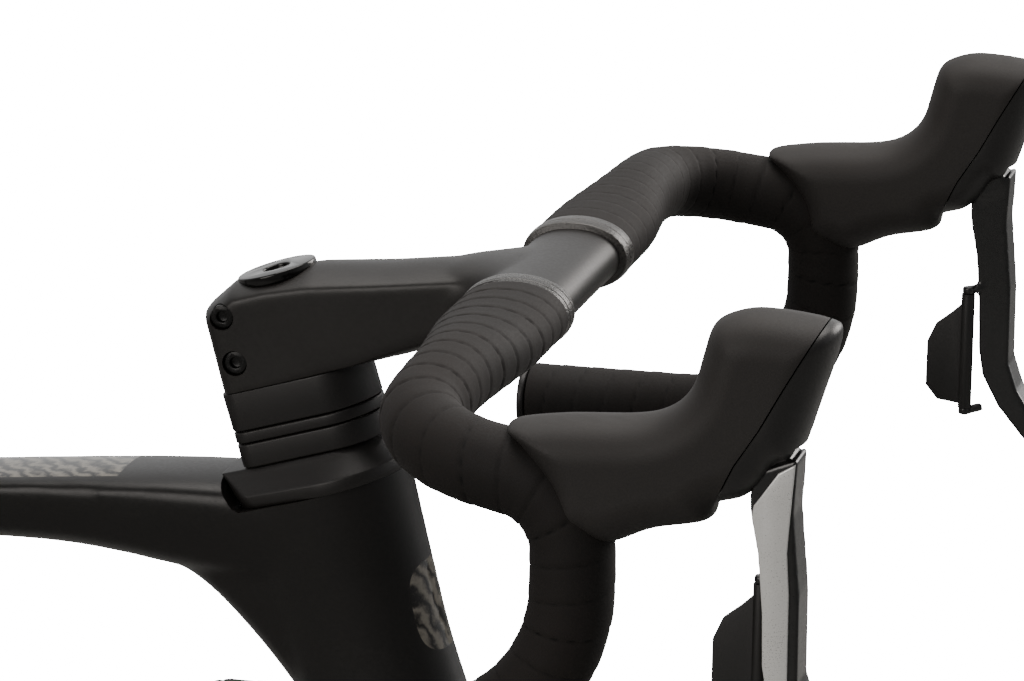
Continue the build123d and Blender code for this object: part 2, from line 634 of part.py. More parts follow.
def front_hub():
    end = HUB_HALF_FRONT - GAP
    y = ROTOR_Y_FRONT
    bore = THRU_AXLE_RADIUS + RUNNING
    return turned(FRONT_AXLE, [
        (-end, bore), (-end, 9), (-39, 10), (-38, 20), (-32, 20.5), (-31, 13), (19, 13), (20, 22.5),
        (26, 22.5), (27, 17.5), (y + 0.9, 17.5), (y + 0.9, 19.5), (y + 5, 19.5), (y + 6, 10),
        (end, 9), (end, bore)])


def rear_hub():
    end = HUB_HALF_REAR - GAP
    y = ROTOR_Y_REAR
    bore = THRU_AXLE_RADIUS + RUNNING
    return turned((REAR_X, AXLE_Z), [
        (-end, bore), (-end, 9), (-19, 9), (-18.8, 26), (-13, 26.5), (-12, 15), (35, 15), (36, 23.5),
        (42, 23.5), (43, 17.5), (y + 0.9, 17.5), (y + 0.9, 19.5), (y + 6, 19.5), (y + 7, 10),
        (end, 9), (end, bore)])


# ---------------------------------------------------------------- transmission
def pitch_radius(teeth):
    return PITCH / (2 * sin(pi / teeth))


def sprocket(centre, y, teeth, thickness, bore, phase):
    """A toothed disc whose first gap is at the angle phase."""
    r = pitch_radius(teeth)
    step = tau / teeth
    points = []
    for k in range(teeth):
        base = phase + k * step
        for dx, dt in ((0.6, -4.25), (-2.7, -3.35), (-4.3, 0), (-2.7, 3.35), (0.6, 4.25)):
            points.append(polar((0, 0), r + dx, base + atan2(dt, r + dx)))
        tip = 0.9 / r
        points.append(polar((0, 0), r + 3.4, base + step / 2 - tip))
        points.append(polar((0, 0), r + 3.4, base + step / 2 + tip))
    plane = Plane(origin=(centre[0], y + thickness / 2, centre[1]), x_dir=(1, 0, 0), z_dir=(0, -1, 0))
    face = make_face(Polyline(*points, close=True)) - Circle(bore)
    return extrude(plane * face, thickness)


REAR_AXLE = (REAR_X, AXLE_Z)
GUIDE = (REAR_X + 12, AXLE_Z - 79)
BB_POINT = (BB.X, BB.Z)


def chain_circles(cage_angle):
    """Centre, teeth and sense of turning of the four wheels that the chain passes."""
    tension = polar(GUIDE, PULLEY_SPACING, cage_angle)
    return ((BB_POINT, OUTER_TEETH, 1), (tension, PULLEY_TEETH, 1), (GUIDE, PULLEY_TEETH, -1),
            (REAR_AXLE, COGS[CHAIN_COG], 1))


def chain_runs(cage_angle):
    """Straight runs of the chain loop: direction and length, one after each wheel."""
    circles = chain_circles(cage_angle)
    runs = []
    for k, (c1, n1, o1) in enumerate(circles):
        c2, n2, o2 = circles[(k + 1) % len(circles)]
        dx, dz = c2[0] - c1[0], c2[1] - c1[1]
        d = sqrt(dx * dx + dz * dz)
        across = (pitch_radius(n1) * o1 - pitch_radius(n2) * o2) / d
        heading = atan2(dz, dx) - asin(across)
        runs.append((heading, d * cos(asin(across))))
    return runs


def chain_pitches(cage_angle):
    """Length of the loop in chain pitches."""
    circles, runs = chain_circles(cage_angle), chain_runs(cage_angle)
    total = 0
    for k, (_, teeth, sense) in enumerate(circles):
        sweep_angle = ((runs[k - 1][0] - runs[k][0]) * sense) % tau
        total += sweep_angle / (tau / teeth) + runs[k][1] / PITCH
    return total


def close_chain():
    """The cage angle that gives a whole, even number of links."""
    low, high = radians(-125), radians(-40)
    middle = chain_pitches(radians(-75))
    links = 2 * round(middle / 2)
    rising = chain_pitches(high) > chain_pitches(low)
    for _ in range(60):
        mid = (low + high) / 2
        if (chain_pitches(mid) > links) == rising:
            high = mid
        else:
            low = mid
    return (low + high) / 2, links


CAGE_ANGLE, CHAIN_LINKS = close_chain()
TENSION = polar(GUIDE, PULLEY_SPACING, CAGE_ANGLE)


def chain_layout():
    """Roller centres round the loop, and each wheel's phase."""
    circles, runs = chain_circles(CAGE_ANGLE), chain_runs(CAGE_ANGLE)
    rollers, phases, offset_pitch = [], [], 0.0
    for k, (centre, teeth, sense) in enumerate(circles):
        r = pitch_radius(teeth)
        heading_in, heading_out = runs[k - 1][0], runs[k][0]
        start = heading_in + sense * pi / 2
        arc_pitches = ((heading_in - heading_out) * sense % tau) / (tau / teeth)
        phases.append(start - sense * offset_pitch * tau / teeth)
        at = offset_pitch
        while at < arc_pitches:
            rollers.append(polar(centre, r, start - sense * at * tau / teeth))
            at += 1
        at -= arc_pitches
        leave = polar(centre, r, heading_out + sense * pi / 2)
        length = runs[k][1] / PITCH
        while at < length:
            rollers.append((leave[0] + at * PITCH * cos(heading_out), leave[1] + at * PITCH * sin(heading_out)))
            at += 1
        offset_pitch = at - length
    return rollers, phases


ROLLERS, PHASES = chain_layout()
PLATE_INNER, PLATE_OUTER, PLATE_HALF = 1.4, 2.65, 4.1


def chain_face(outset):
    """The loop's outline, moved outwards from the pitch line by outset."""
    circles, runs = chain_circles(CAGE_ANGLE), chain_runs(CAGE_ANGLE)
    lines, ends = [], []
    for k, (centre, teeth, sense) in enumerate(circles):
        r = pitch_radius(teeth) + sense * outset
        start = runs[k - 1][0] + sense * pi / 2
        sweep_angle = ((runs[k - 1][0] - runs[k][0]) * sense) % tau
        a, m, b = (polar(centre, r, start - sense * sweep_angle * f) for f in (0, 0.5, 1))
        lines.append(ThreePointArc(a, m, b))
        ends.append((a, b))
    for k, (_, b) in enumerate(ends):
        lines.append(Line(b, ends[(k + 1) % len(ends)][0]))
    return make_face(Wire(lines))


def chain():
    band = chain_face(PLATE_HALF) - chain_face(-PLATE_HALF)
    solids = []
    for low, high in ((PLATE_INNER, PLATE_OUTER), (-PLATE_OUTER, -PLATE_INNER)):
        plane = Plane(origin=(0, CHAIN_PLANE + high, 0), x_dir=(1, 0, 0), z_dir=(0, -1, 0))
        solids.append(extrude(plane * band, high - low))
    for x, z in ROLLERS:
        solids.append(cross((x, z), CHAIN_PLANE - PLATE_INNER, CHAIN_PLANE + PLATE_INNER, ROLLER_RADIUS))
    return solids


def cassette():
    first = CHAIN_PLANE - CHAIN_COG * COG_PITCH
    body = cross(REAR_AXLE, first - 4.2, -19.6, 17.2, 9 + RUNNING)
    cogs = []
    for i, teeth in enumerate(COGS):
        y = first + i * COG_PITCH
        phase = PHASES[3] if i == CHAIN_COG else i * 0.1
        cogs.append(sprocket(REAR_AXLE, y, teeth, 1.6, 17.0, phase))
    lockring = cross(REAR_AXLE, first - 3.4, first - 0.8, 19.3, 17.0)
    return body.fuse(*cogs, lockring)


def chainrings():
    outer = sprocket(BB_POINT, CHAIN_PLANE, OUTER_TEETH, 1.6, 47.5, PHASES[0])
    inner_y = CHAIN_PLANE + RING_GAP
    inner = sprocket(BB_POINT, inner_y, INNER_TEETH, 1.6, 47.5, 0.05)
    posts = []
    for k in range(4):
        x, z = polar(BB_POINT, BOLT_CIRCLE, radians(CRANK_TILT + 45 + 90 * k))
        posts.append(cross((x, z), CHAIN_PLANE + 0.8, inner_y - 0.8, 6))
        posts.append(cross((x, z), inner_y + 0.8, inner_y + 2.4, 5))
    return outer, inner, *posts


CRANK_TILT = -8.0
ARM_INNER = 60.0
SPIDER_Y = (-52.0, -47.2)


def crankset():
    tilt = radians(CRANK_TILT)
    right_end = polar(BB_POINT, CRANK_LENGTH, tilt)
    left_end = polar(BB_POINT, CRANK_LENGTH, tilt + pi)
    right = stadium(BB_POINT, right_end, 19, 13, -CRANK_FACE, -ARM_INNER)
    right += cross(BB_POINT, -CRANK_FACE, SPIDER_Y[1], 20)
    for k in range(4):
        end = polar(BB_POINT, BOLT_CIRCLE, radians(CRANK_TILT + 45 + 90 * k))
        right += stadium(BB_POINT, end, 12, 7.5, *SPIDER_Y)
    spindle = cross(BB_POINT, -CRANK_FACE, CRANK_FACE, SPINDLE_RADIUS)
    left = stadium(BB_POINT, left_end, 18, 13, ARM_INNER, CRANK_FACE)
    left += cross(BB_POINT, BB_HALF_WIDTH + 2.5, CRANK_FACE, 17.5)
    right_axle = cross(right_end, -CRANK_FACE - 56, -CRANK_FACE, 7) + cross(right_end, -CRANK_FACE - 3, -CRANK_FACE, 9)
    left_axle = cross(left_end, CRANK_FACE, CRANK_FACE + 56, 7) + cross(left_end, CRANK_FACE, CRANK_FACE + 3, 9)
    return right - spindle, spindle, left - spindle, right_axle, left_axle


PEDAL_OUTLINE = ((-34, 26), (-30, 34), (10, 36), (38, 22), (46, 0), (38, -22), (10, -28), (-30, -26), (-34, -20))


def pedal(side):
    tilt = radians(CRANK_TILT) + (0 if side < 0 else pi)
    x, z = polar(BB_POINT, CRANK_LENGTH, tilt)
    middle = side * (CRANK_FACE + 36)
    outline = [(px, side * py) for px, py in PEDAL_OUTLINE]
    body = extrude(Pos(x, middle, z - 6) * make_face(Polyline(*outline, close=True)), 12)
    near, far = side * (CRANK_FACE + 3 + GAP), side * (CRANK_FACE + 60)
    body += cross((x, z), min(near, far), max(near, far), 9.5)
    bore_end = side * (CRANK_FACE + 56 + GAP)
    return body - cross((x, z), min(near, bore_end), max(near, bore_end), 7 + RUNNING)


# ---------------------------------------------------------------- derailleurs
LINK_LENGTH, LINK_REST = 56.0, 15.0
LINK_TILT = 45.0
LINK_AXIS = Vector(0, sin(radians(LINK_TILT)), cos(radians(LINK_TILT)))
LINK_IN = Vector(0, cos(radians(LINK_TILT)), -sin(radians(LINK_TILT)))
LINK_ALONG = Vector(1, 0, 0) * cos(radians(LINK_REST)) + LINK_IN * sin(radians(LINK_REST))
LINK_SPLIT = LINK_IN * 14.0
LINK_HALF_WIDTH = 7.0
PIN_RADIUS = 1.6
KNUCKLE_Y = CHAIN_PLANE - 9.0
OUTER_FOOT = Vector(GUIDE[0] - 4, KNUCKLE_Y - 26, GUIDE[1] + 16)
OUTER_ROOT = OUTER_FOOT - LINK_ALONG * LINK_LENGTH


def link(root):
    plane = Plane(origin=root - LINK_AXIS * LINK_HALF_WIDTH, x_dir=LINK_ALONG, z_dir=LINK_AXIS)
    outline = Pos(LINK_LENGTH / 2, 0) * SlotCenterToCenter(LINK_LENGTH, 6.2)
    for x in (0, LINK_LENGTH):
        outline -= Pos(x, 0) * Circle(PIN_RADIUS + RUNNING)
    return extrude(plane * outline, 2 * LINK_HALF_WIDTH)


def ears(root):
    """Two ears and two pins that carry one end of both links."""
    solids = []
    plane_up = Plane(origin=root + LINK_AXIS * (LINK_HALF_WIDTH + GAP), x_dir=LINK_IN, z_dir=LINK_AXIS)
    plane_down = Plane(origin=root - LINK_AXIS * (LINK_HALF_WIDTH + GAP + 3), x_dir=LINK_IN, z_dir=LINK_AXIS)
    for plane in (plane_up, plane_down):
        solids.append(extrude(plane * Pos(7, 0) * SlotCenterToCenter(14, 8.4), 3))
    reach = LINK_HALF_WIDTH + GAP + 3
    for pin in (root, root + LINK_SPLIT):
        solids.append(rod(pin - LINK_AXIS * reach, pin + LINK_AXIS * reach, PIN_RADIUS))
    return solids


def rear_derailleur_mount():
    """The knuckle on the hanger bolt, which carries the roots of both links."""
    outer_y = -HUB_HALF_REAR - DROPOUT_WIDTH
    barrel = cross(HANGER_BOLT, outer_y - 16, outer_y - 0.05, 11)
    bolt = cross(HANGER_BOLT, outer_y - 0.05, outer_y + DROPOUT_WIDTH, 4.9)
    up = OUTER_ROOT + LINK_SPLIT * 0.5 + LINK_AXIS * (LINK_HALF_WIDTH + GAP + 1.5)
    down = OUTER_ROOT + LINK_SPLIT * 0.5 - LINK_AXIS * (LINK_HALF_WIDTH + GAP + 1.5)
    spine_top = up + Vector(-13, 0, 0)
    spine_low = down + Vector(-13, 0, 0)
    neck = spine_top + LINK_AXIS * 6
    body = rod(neck + LINK_AXIS, spine_low - LINK_AXIS, 4.0)
    back = Vector(-2, 0, 0)
    body += rod(up + back, spine_top, 3.0) + rod(down + back, spine_low, 3.0)
    body += rod(neck, (HANGER_BOLT[0], outer_y - 8, HANGER_BOLT[1]), 5.0)
    for piece in ears(OUTER_ROOT):
        body += piece
    return body + barrel + bolt


def rear_derailleur_knuckle():
    """The lower knuckle, which carries the cage on the guide pulley's axis."""
    body = cross(GUIDE, KNUCKLE_Y - 9, KNUCKLE_Y, 8)
    up = OUTER_FOOT + LINK_SPLIT * 0.5 + LINK_AXIS * (LINK_HALF_WIDTH + GAP + 1.5)
    down = OUTER_FOOT + LINK_SPLIT * 0.5 - LINK_AXIS * (LINK_HALF_WIDTH + GAP + 1.5)
    spine_top, spine_low = up + Vector(13, 0, 0), down + Vector(13, 0, 0)
    ahead = Vector(2, 0, 0)
    body += rod(up + ahead, spine_top, 3.0) + rod(down + ahead, spine_low, 3.0)
    body += rod(spine_top + LINK_AXIS, spine_low - LINK_AXIS, 4.0)
    body += rod(spine_low, (GUIDE[0] + 4, KNUCKLE_Y - 6, GUIDE[1] - 1), 4.0)
    for piece in ears(OUTER_FOOT):
        body += piece
    return body + cross(GUIDE, KNUCKLE_Y - 1, CHAIN_PLANE - 4.2, 4)


CAGE_GAP = 2.9
CAGE_WALL = 1.5


def rear_derailleur_cage():
    outer = stadium(GUIDE, TENSION, 13, 10, CHAIN_PLANE - CAGE_GAP - CAGE_WALL, CHAIN_PLANE - CAGE_GAP)
    outer -= cross(GUIDE, CHAIN_PLANE - 9, CHAIN_PLANE, 4 + RUNNING)
    inner = stadium(GUIDE, TENSION, 13, 10, CHAIN_PLANE + CAGE_GAP, CHAIN_PLANE + CAGE_GAP + CAGE_WALL)
    pins = cross(TENSION, CHAIN_PLANE - CAGE_GAP - 0.4, CHAIN_PLANE + CAGE_GAP + 0.4, 2.5)
    guide_pin = cross(GUIDE, CHAIN_PLANE - CAGE_GAP + 0.3, CHAIN_PLANE + CAGE_GAP + 0.4, 2.5)
    return outer + inner + pins, guide_pin


def pulley(centre, phase):
    return sprocket(centre, CHAIN_PLANE, PULLEY_TEETH, 2.0, 2.5 + RUNNING, phase)


FD_PIVOT = (-138.0, -46.0, 432.0)
FD_ARC = (84.0, 116.0)
FD_LOW, FD_HIGH = 110.0, 124.0


def fd_plate(y0, y1, low, high, start, end):
    plane = Plane(origin=(BB.X, y1, BB.Z), x_dir=(1, 0, 0), z_dir=(0, -1, 0))
    a, b = radians(start), radians(end)
    mid = (a + b) / 2
    o = (0, 0)
    lines = [ThreePointArc(polar(o, high, a), polar(o, high, mid), polar(o, high, b)),
             Line(polar(o, high, b), polar(o, low, b)),
             ThreePointArc(polar(o, low, b), polar(o, low, mid), polar(o, low, a)),
             Line(polar(o, low, a), polar(o, high, a))]
    return extrude(plane * make_face(Wire(lines)), y1 - y0)


def front_derailleur_cage():
    px, py, pz = FD_PIVOT
    outer = fd_plate(CHAIN_PLANE - 5.4, CHAIN_PLANE - 4.2, FD_LOW, FD_HIGH, *FD_ARC)
    inner = fd_plate(CHAIN_PLANE + 3.4, CHAIN_PLANE + 4.6, FD_LOW, FD_HIGH, *FD_ARC)
    bridge = fd_plate(CHAIN_PLANE - 5.4, CHAIN_PLANE + 4.6, FD_HIGH - 1.5, FD_HIGH + 1, *FD_ARC)
    foot = polar(BB_POINT, FD_HIGH, radians(sum(FD_ARC) / 2))
    arm = rod((foot[0], py, foot[1]), (px, py, pz), 4.0)
    barrel = rod((px - 9, py, pz), (px + 9, py, pz), 5.0)
    return outer + inner + bridge + arm + barrel - rod((px - 20, py, pz), (px + 20, py, pz), 2 + RUNNING)


def front_derailleur_body(seat_skin):
    px, py, pz = FD_PIVOT
    body = Pos(px + 1, -24, pz) * Box(26, 34, 22) - seat_skin
    body -= Pos(px, py, pz) * Box(18.6, 21, 24)
    for end in (-1, 1):
        body += Pos(px + end * 11.3, py + 4, pz) * Box(4, 20, 12)
    return body + rod((px - 13.3, py, pz), (px + 13.3, py, pz), 2)


# ---------------------------------------------------------------- brakes
def caliper(centre, y, radius, at_angle, mount):
    """A two-pad caliper straddling the rotor's rim, with its pads, trimmed to its mount."""
    x, z = polar(centre, radius - 6, radians(at_angle))
    block = Pos(x, y, z) * Rot(0, -at_angle, 0) * Box(34, 26, 58)
    block = fillet(block.edges().filter_by(Axis.Y), 6)
    block -= cross(centre, y - 3.4, y + 3.4, radius + 2.5)
    for solid in mount:
        block -= solid
    pads = [Pos(x, y + side * 2.4, z) * Rot(0, -at_angle, 0) * Box(14, 2, 26) for side in (-1, 1)]
    return block, pads


def build():
    head_skin, seat_skin = head_tube_skin(), seat_tube_skin()
    save("head_tube", head_tube(head_skin))
    save("top_tube", top_tube(head_skin, seat_skin))
    save("down_tube", down_tube(head_skin, seat_skin))
    save("seat_tube", seat_tube(seat_skin))
    stays = chainstays(seat_skin)
    save("chainstays", *stays)
    seat_stays = seatstays(seat_skin, stays)
    save("seatstays", *seat_stays)
    save("cartridge_bearings", *cartridge_bearings())
    save("headset_cover", headset_cover())

    post = seatpost()
    rails = saddle_rails()
    skin = saddle_skin(0)
    save("seatpost", post)
    save("seatpost_clamp", seatpost_clamp())
    save("saddle_rails", *rails)
    save("saddle_cover", saddle_cover(skin, rails))
    save("saddle_shell", saddle_shell(skin, rails))
    save("saddle_clamp", *saddle_clamp(rails, post))

    crown = steerer()
    blades = fork_blades(crown)
    save("steerer", crown)
    save("fork_blades", *blades)
    save("front_thru_axle", thru_axle(FRONT_AXLE, HUB_HALF_FRONT, 11))
    save("rear_thru_axle", thru_axle(REAR_AXLE, HUB_HALF_REAR, DROPOUT_WIDTH))
    save("headset_spacers", *headset_spacers())

    bar = handlebar()
    bracket, hood, hood_full = hood_parts(bar)
    tape = bar_tape(hood_full)
    save("handlebar", bar)
    save("stem", stem(bar))
    save("stem_bolts", *stem_bolts())
    save("top_cap", top_cap())
    save("bar_tape", *both(tape))
    save("bar_end_plugs", *both(bar_end_plug()))
    lever, paddle = brake_lever(), shift_paddle()
    for name, left in (("shifter_bracket", bracket), ("hood", hood), ("brake_lever", lever),
                       ("shift_paddle", paddle)):
        save(f"{name}_left", left)
        save(f"{name}_right", mirror(left, about=Plane.XZ))

    flanges = {"front": ((23, 22.5), (-35, 20.3)), "rear": ((39, 23.5), (-16, 26.3))}
    for name, centre in (("front", FRONT_AXLE), ("rear", REAR_AXLE)):
        save(f"{name}_tyre", tyre(centre))
        rim_body, valve = rim(centre)
        save(f"{name}_rim", rim_body, valve)
        save(f"{name}_spokes", *spokes(centre, rim_body, *flanges[name]))
    save("front_hub", front_hub())
    save("rear_hub", rear_hub())
    save("front_rotor", rotor(FRONT_AXLE, ROTOR_RADIUS_FRONT, ROTOR_Y_FRONT, 17.5))
    save("rear_rotor", rotor(REAR_AXLE, ROTOR_RADIUS_REAR, ROTOR_Y_REAR, 17.5))
    block, pads = caliper(FRONT_AXLE, ROTOR_Y_FRONT, ROTOR_RADIUS_FRONT, 133, blades)
    save("front_caliper", block, *pads)
    mount = [*stays, *seat_stays]
    block, pads = caliper(REAR_AXLE, ROTOR_Y_REAR, ROTOR_RADIUS_REAR, 22, mount)
    save("rear_caliper", block, *pads)

    save("cassette", cassette())
    save("chainrings", *chainrings())
    save("crankset", *crankset())
    save("pedal_left", pedal(1))
    save("pedal_right", pedal(-1))
    save("chain", *chain())
    save("rear_derailleur_mount", rear_derailleur_mount())
    save("rear_derailleur_outer_link", link(OUTER_ROOT))
    save("rear_derailleur_inner_link", link(OUTER_ROOT + LINK_SPLIT))
    save("rear_derailleur_knuckle", rear_derailleur_knuckle())
    save("rear_derailleur_cage", *rear_derailleur_cage())
    save("guide_pulley", pulley(GUIDE, PHASES[2]))
    save("tension_pulley", pulley(TENSION, PHASES[1]))
    save("front_derailleur_body", front_derailleur_body(seat_skin))
    save("front_derailleur_cage", front_derailleur_cage())
    print("chain links", CHAIN_LINKS, "cage angle", round(degrees(CAGE_ANGLE), 2))


build()
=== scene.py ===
import bmesh
import bpy
import json
import math
import numpy as np
from mathutils import Matrix, Vector


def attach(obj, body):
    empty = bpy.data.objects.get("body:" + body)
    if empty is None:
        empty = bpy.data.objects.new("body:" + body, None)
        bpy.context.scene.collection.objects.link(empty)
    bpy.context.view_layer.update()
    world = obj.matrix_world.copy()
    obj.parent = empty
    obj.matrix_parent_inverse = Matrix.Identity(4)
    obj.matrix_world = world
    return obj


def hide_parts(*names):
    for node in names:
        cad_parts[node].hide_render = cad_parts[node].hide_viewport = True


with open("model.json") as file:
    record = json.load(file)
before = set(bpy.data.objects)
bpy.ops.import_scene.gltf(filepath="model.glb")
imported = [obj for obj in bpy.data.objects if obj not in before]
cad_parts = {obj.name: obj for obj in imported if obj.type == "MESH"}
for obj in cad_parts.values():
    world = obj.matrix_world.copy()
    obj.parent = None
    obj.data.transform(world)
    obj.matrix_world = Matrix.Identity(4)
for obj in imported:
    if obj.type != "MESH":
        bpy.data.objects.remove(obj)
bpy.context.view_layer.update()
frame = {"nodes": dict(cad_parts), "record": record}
nodes = frame["nodes"]
body_of = {node: body for body, members in frame["record"]["behaviour"]["bodies"].items() for node in members}


# The studio: a pale matt floor that runs out of sight and glows to the camera with painted light, a white
# room behind the bicycle and a dark one behind the viewer, so the black surfaces read by their top light. The
# lens is long and close to level.
def add(tree, kind, inputs=None, **settings):
    """A node with its settings, and its inputs by name or number: a value or another node's output."""
    node = tree.nodes.new(kind)
    for key, value in settings.items():
        setattr(node, key, value)
    for key, value in (inputs or {}).items():
        if isinstance(value, bpy.types.NodeSocket):
            tree.links.new(value, node.inputs[key])
        else:
            node.inputs[key].default_value = value
    return node


def srgb(text):
    channels = [int(text[i:i + 2], 16) / 255 for i in (1, 3, 5)]
    return [c / 12.92 if c <= 0.04045 else ((c + 0.055) / 1.055) ** 2.4 for c in channels] + [1.0]


scene = bpy.context.scene
ahead = Vector((-0.24398, 0.93267, -0.26572)).normalized()
aside = Vector((0.96745, 0.25308, 0.0)).normalized()
above = aside.cross(ahead)
roll = math.radians(0.80)
lens_x = aside * math.cos(roll) + above * math.sin(roll)
lens_y = above * math.cos(roll) - aside * math.sin(roll)
camera = bpy.data.objects.new("camera", bpy.data.cameras.new("camera"))
scene.collection.objects.link(camera)
camera.data.lens, camera.data.sensor_width = 184.2, 36.0
camera.data.clip_start, camera.data.clip_end = 0.05, 60.0
turn = Matrix((lens_x, lens_y, -ahead)).transposed().to_4x4()
camera.matrix_world = Matrix.Translation((0.8593, -1.8798, 1.4282)) @ turn
scene.camera = camera

world = bpy.data.worlds.new("studio")
scene.world = world
world.use_nodes = True
tree = world.node_tree
direction = add(tree, "ShaderNodeSeparateXYZ", {0: add(tree, "ShaderNodeTexCoord").outputs["Generated"]})
lift = add(tree, "ShaderNodeMapRange", {"Value": direction.outputs["Y"], "From Min": -0.5, "From Max": 0.9,
                                        "To Min": 0.20, "To Max": 0.95})
seen = add(tree, "ShaderNodeLightPath").outputs["Is Camera Ray"]
power = add(tree, "ShaderNodeMix", {"Factor": seen, "A": lift.outputs[0], "B": 22.0})
background = tree.nodes["Background"]
background.inputs["Color"].default_value = srgb("#ffffff")
tree.links.new(power.outputs["Result"], background.inputs["Strength"])

for name, place, aim, size, watts in (
        ("top light", (0.2, 0.5, 3.4), (0.2, 0.0, 0.9), 2.2, 62.0),
        ("back light", (1.9, 2.2, 2.0), (0.3, 0.0, 0.8), 1.8, 60.0),
        ("side light", (-1.0, -2.8, 2.0), (0.2, 0.0, 0.8), 2.2, 52.0)):
    lamp = bpy.data.lights.new(name, "AREA")
    lamp.shape, lamp.size, lamp.energy = "DISK", size, watts
    lamp.color = (1.0, 0.945, 0.90)
    light = bpy.data.objects.new(name, lamp)
    scene.collection.objects.link(light)
    light.matrix_world = Matrix.Translation(place) @ (
        (Vector(aim) - Vector(place)).to_track_quat("-Z", "Y").to_matrix().to_4x4())


def as_object(name, points, faces):
    """A mesh object from points in millimetres."""
    mesh = bpy.data.meshes.new(name)
    mesh.from_pydata((np.asarray(points, float) / 1000).tolist(), [], [list(map(int, f)) for f in faces])
    mesh.update()
    obj = bpy.data.objects.new(name, mesh)
    scene.collection.objects.link(obj)
    return obj


FLOOR = 9000
floor = as_object("floor", [(-FLOOR, -FLOOR, 0), (FLOOR, -FLOOR, 0), (FLOOR, FLOOR, 0), (-FLOOR, FLOOR, 0)],
                  [(0, 1, 2, 3)])
paper = bpy.data.materials.new("white floor paper with painted glow")
paper.use_nodes = True
tree = paper.node_tree
fibre = add(tree, "ShaderNodeTexNoise", {"Vector": add(tree, "ShaderNodeTexCoord").outputs["Object"],
                                         "Scale": 40.0, "Detail": 3.0})
shade = add(tree, "ShaderNodeMix", {"Factor": fibre.outputs["Fac"], 6: srgb("#ececea"), 7: srgb("#f3f3f1")},
            data_type="RGBA")
matt = tree.nodes["Principled BSDF"]
# Painted glow: camera rays see the pale paper glowing, weakly near the bicycle and strongly far off; other
# rays see a dimmer grey.
seen = add(tree, "ShaderNodeLightPath").outputs["Is Camera Ray"]
dim = add(tree, "ShaderNodeMix", {"Factor": seen, 6: srgb("#8c8c8a"), 7: shade.outputs[2]}, data_type="RGBA")
reach = add(tree, "ShaderNodeVectorMath", {0: add(tree, "ShaderNodeNewGeometry").outputs["Position"]},
            operation="LENGTH")
near = add(tree, "ShaderNodeMapRange", {"Value": reach.outputs["Value"], "From Min": 1.1, "From Max": 2.6,
                                        "To Min": 2.2, "To Max": 22.0}, interpolation_type="SMOOTHSTEP")
glow = add(tree, "ShaderNodeMath", {0: seen, 1: near.outputs[0]}, operation="MULTIPLY")
tree.links.new(dim.outputs[2], matt.inputs["Base Color"])
tree.links.new(glow.outputs[0], matt.inputs["Emission Strength"])
matt.inputs["Emission Color"].default_value = srgb("#ffffff")
matt.inputs["Roughness"].default_value = 0.9
floor.data.materials.append(paper)


# The frame: one hollow carbon moulding, so every tube runs into the next in a broad fillet. It is laid up
# in a mould and sprayed satin black, with a glossy window on the top tube and a blank plate on the head.
HEAD = np.array((298.2, 0.0, 831.0))
UP = np.array((-0.292372, 0.0, 0.956305))
FRONT = np.array((0.956305, 0.0, 0.292372))
BB = np.array((-91.8, 0.0, 269.0))
SEAT_UP = np.array((-0.284015, 0.0, 0.958820))
SEAT_FRONT = np.array((0.958820, 0.0, 0.284015))
ACROSS = np.array((0.0, 1.0, 0.0))
REAR, FORE = np.array((-495.7, 0.0, 339.0)), np.array((495.7, 0.0, 339.0))


def steer(s, forward=0.0, y=0.0):
    return HEAD + UP * s + FRONT * forward + ACROSS * y


def loft(stations, count=48, steps=7):
    """A closed skin through rings: centre, two directions, half width, height over and under, squareness."""
    rows = np.array([[*c, *u, *v, w, over, under, p] for c, u, v, w, over, under, p in stations], float)
    ends = np.vstack((2 * rows[0] - rows[1], rows, 2 * rows[-1] - rows[-2]))
    path = []
    for k in range(1, len(ends) - 2):
        a, b, c, d = ends[k - 1:k + 3]
        for i in range(steps):
            t = i / steps
            path.append(0.5 * (2 * b + (c - a) * t + (2 * a - 5 * b + 4 * c - d) * t * t
                               + (3 * b - a - 3 * c + d) * t ** 3))
    path.append(rows[-1])
    angle = np.linspace(0, 2 * np.pi, count, endpoint=False)
    points = []
    for row in path:
        centre, u, v = row[0:3], row[3:6], row[6:9]
        u, v = u / np.linalg.norm(u), v / np.linalg.norm(v)
        w, over, under, p = row[9:]
        c = np.sign(np.cos(angle)) * np.abs(np.cos(angle)) ** (2 / p)
        s = np.sign(np.sin(angle)) * np.abs(np.sin(angle)) ** (2 / p)
        points.append(centre + np.outer(c * w, u) + np.outer(s * np.where(s > 0, over, under), v))
    return np.vstack(points), tube_faces(len(path), count)


def tube_faces(rings, count):
    """The side faces between rings of points, and a face on each end."""
    faces = [(row + i, row + (i + 1) % count, row + count + (i + 1) % count, row + count + i)
             for row in range(0, (rings - 1) * count, count) for i in range(count)]
    return faces + [tuple(range(count))[::-1], tuple((rings - 1) * count + i for i in range(count))]


def cylinder(a, b, radius, count=48):
    a, b = np.asarray(a, float), np.asarray(b, float)
    along = (b - a) / np.linalg.norm(b - a)
    u = np.cross(along, (0.3, 0.2, 0.9))
    u /= np.linalg.norm(u)
    v = np.cross(along, u)
    return loft([(a, u, v, radius, radius, radius, 2), (b, u, v, radius, radius, radius, 2)], count, 1)


def prism(outline, low, high, axis=ACROSS, origin=(0, 0, 0), x_dir=(1, 0, 0), y_dir=(0, 0, 1)):
    """A flat outline pushed from low to high along an axis."""
    flat = [np.asarray(origin, float) + np.asarray(x_dir) * x + np.asarray(y_dir) * y for x, y in outline]
    points = [p + np.asarray(axis) * h for h in (low, high) for p in flat]
    return np.array(points), tube_faces(2, len(flat))


def flip(shape):
    """The same shape on the other side of the bicycle."""
    points, faces = shape
    return np.asarray(points) * (1, -1, 1), [f[::-1] for f in faces]


def settle(obj):
    """Turns the object's modifiers into its mesh."""
    evaluated = obj.evaluated_get(bpy.context.evaluated_depsgraph_get())
    mesh = bpy.data.meshes.new_from_object(evaluated)
    obj.modifiers.clear()
    obj.data = mesh
    return obj


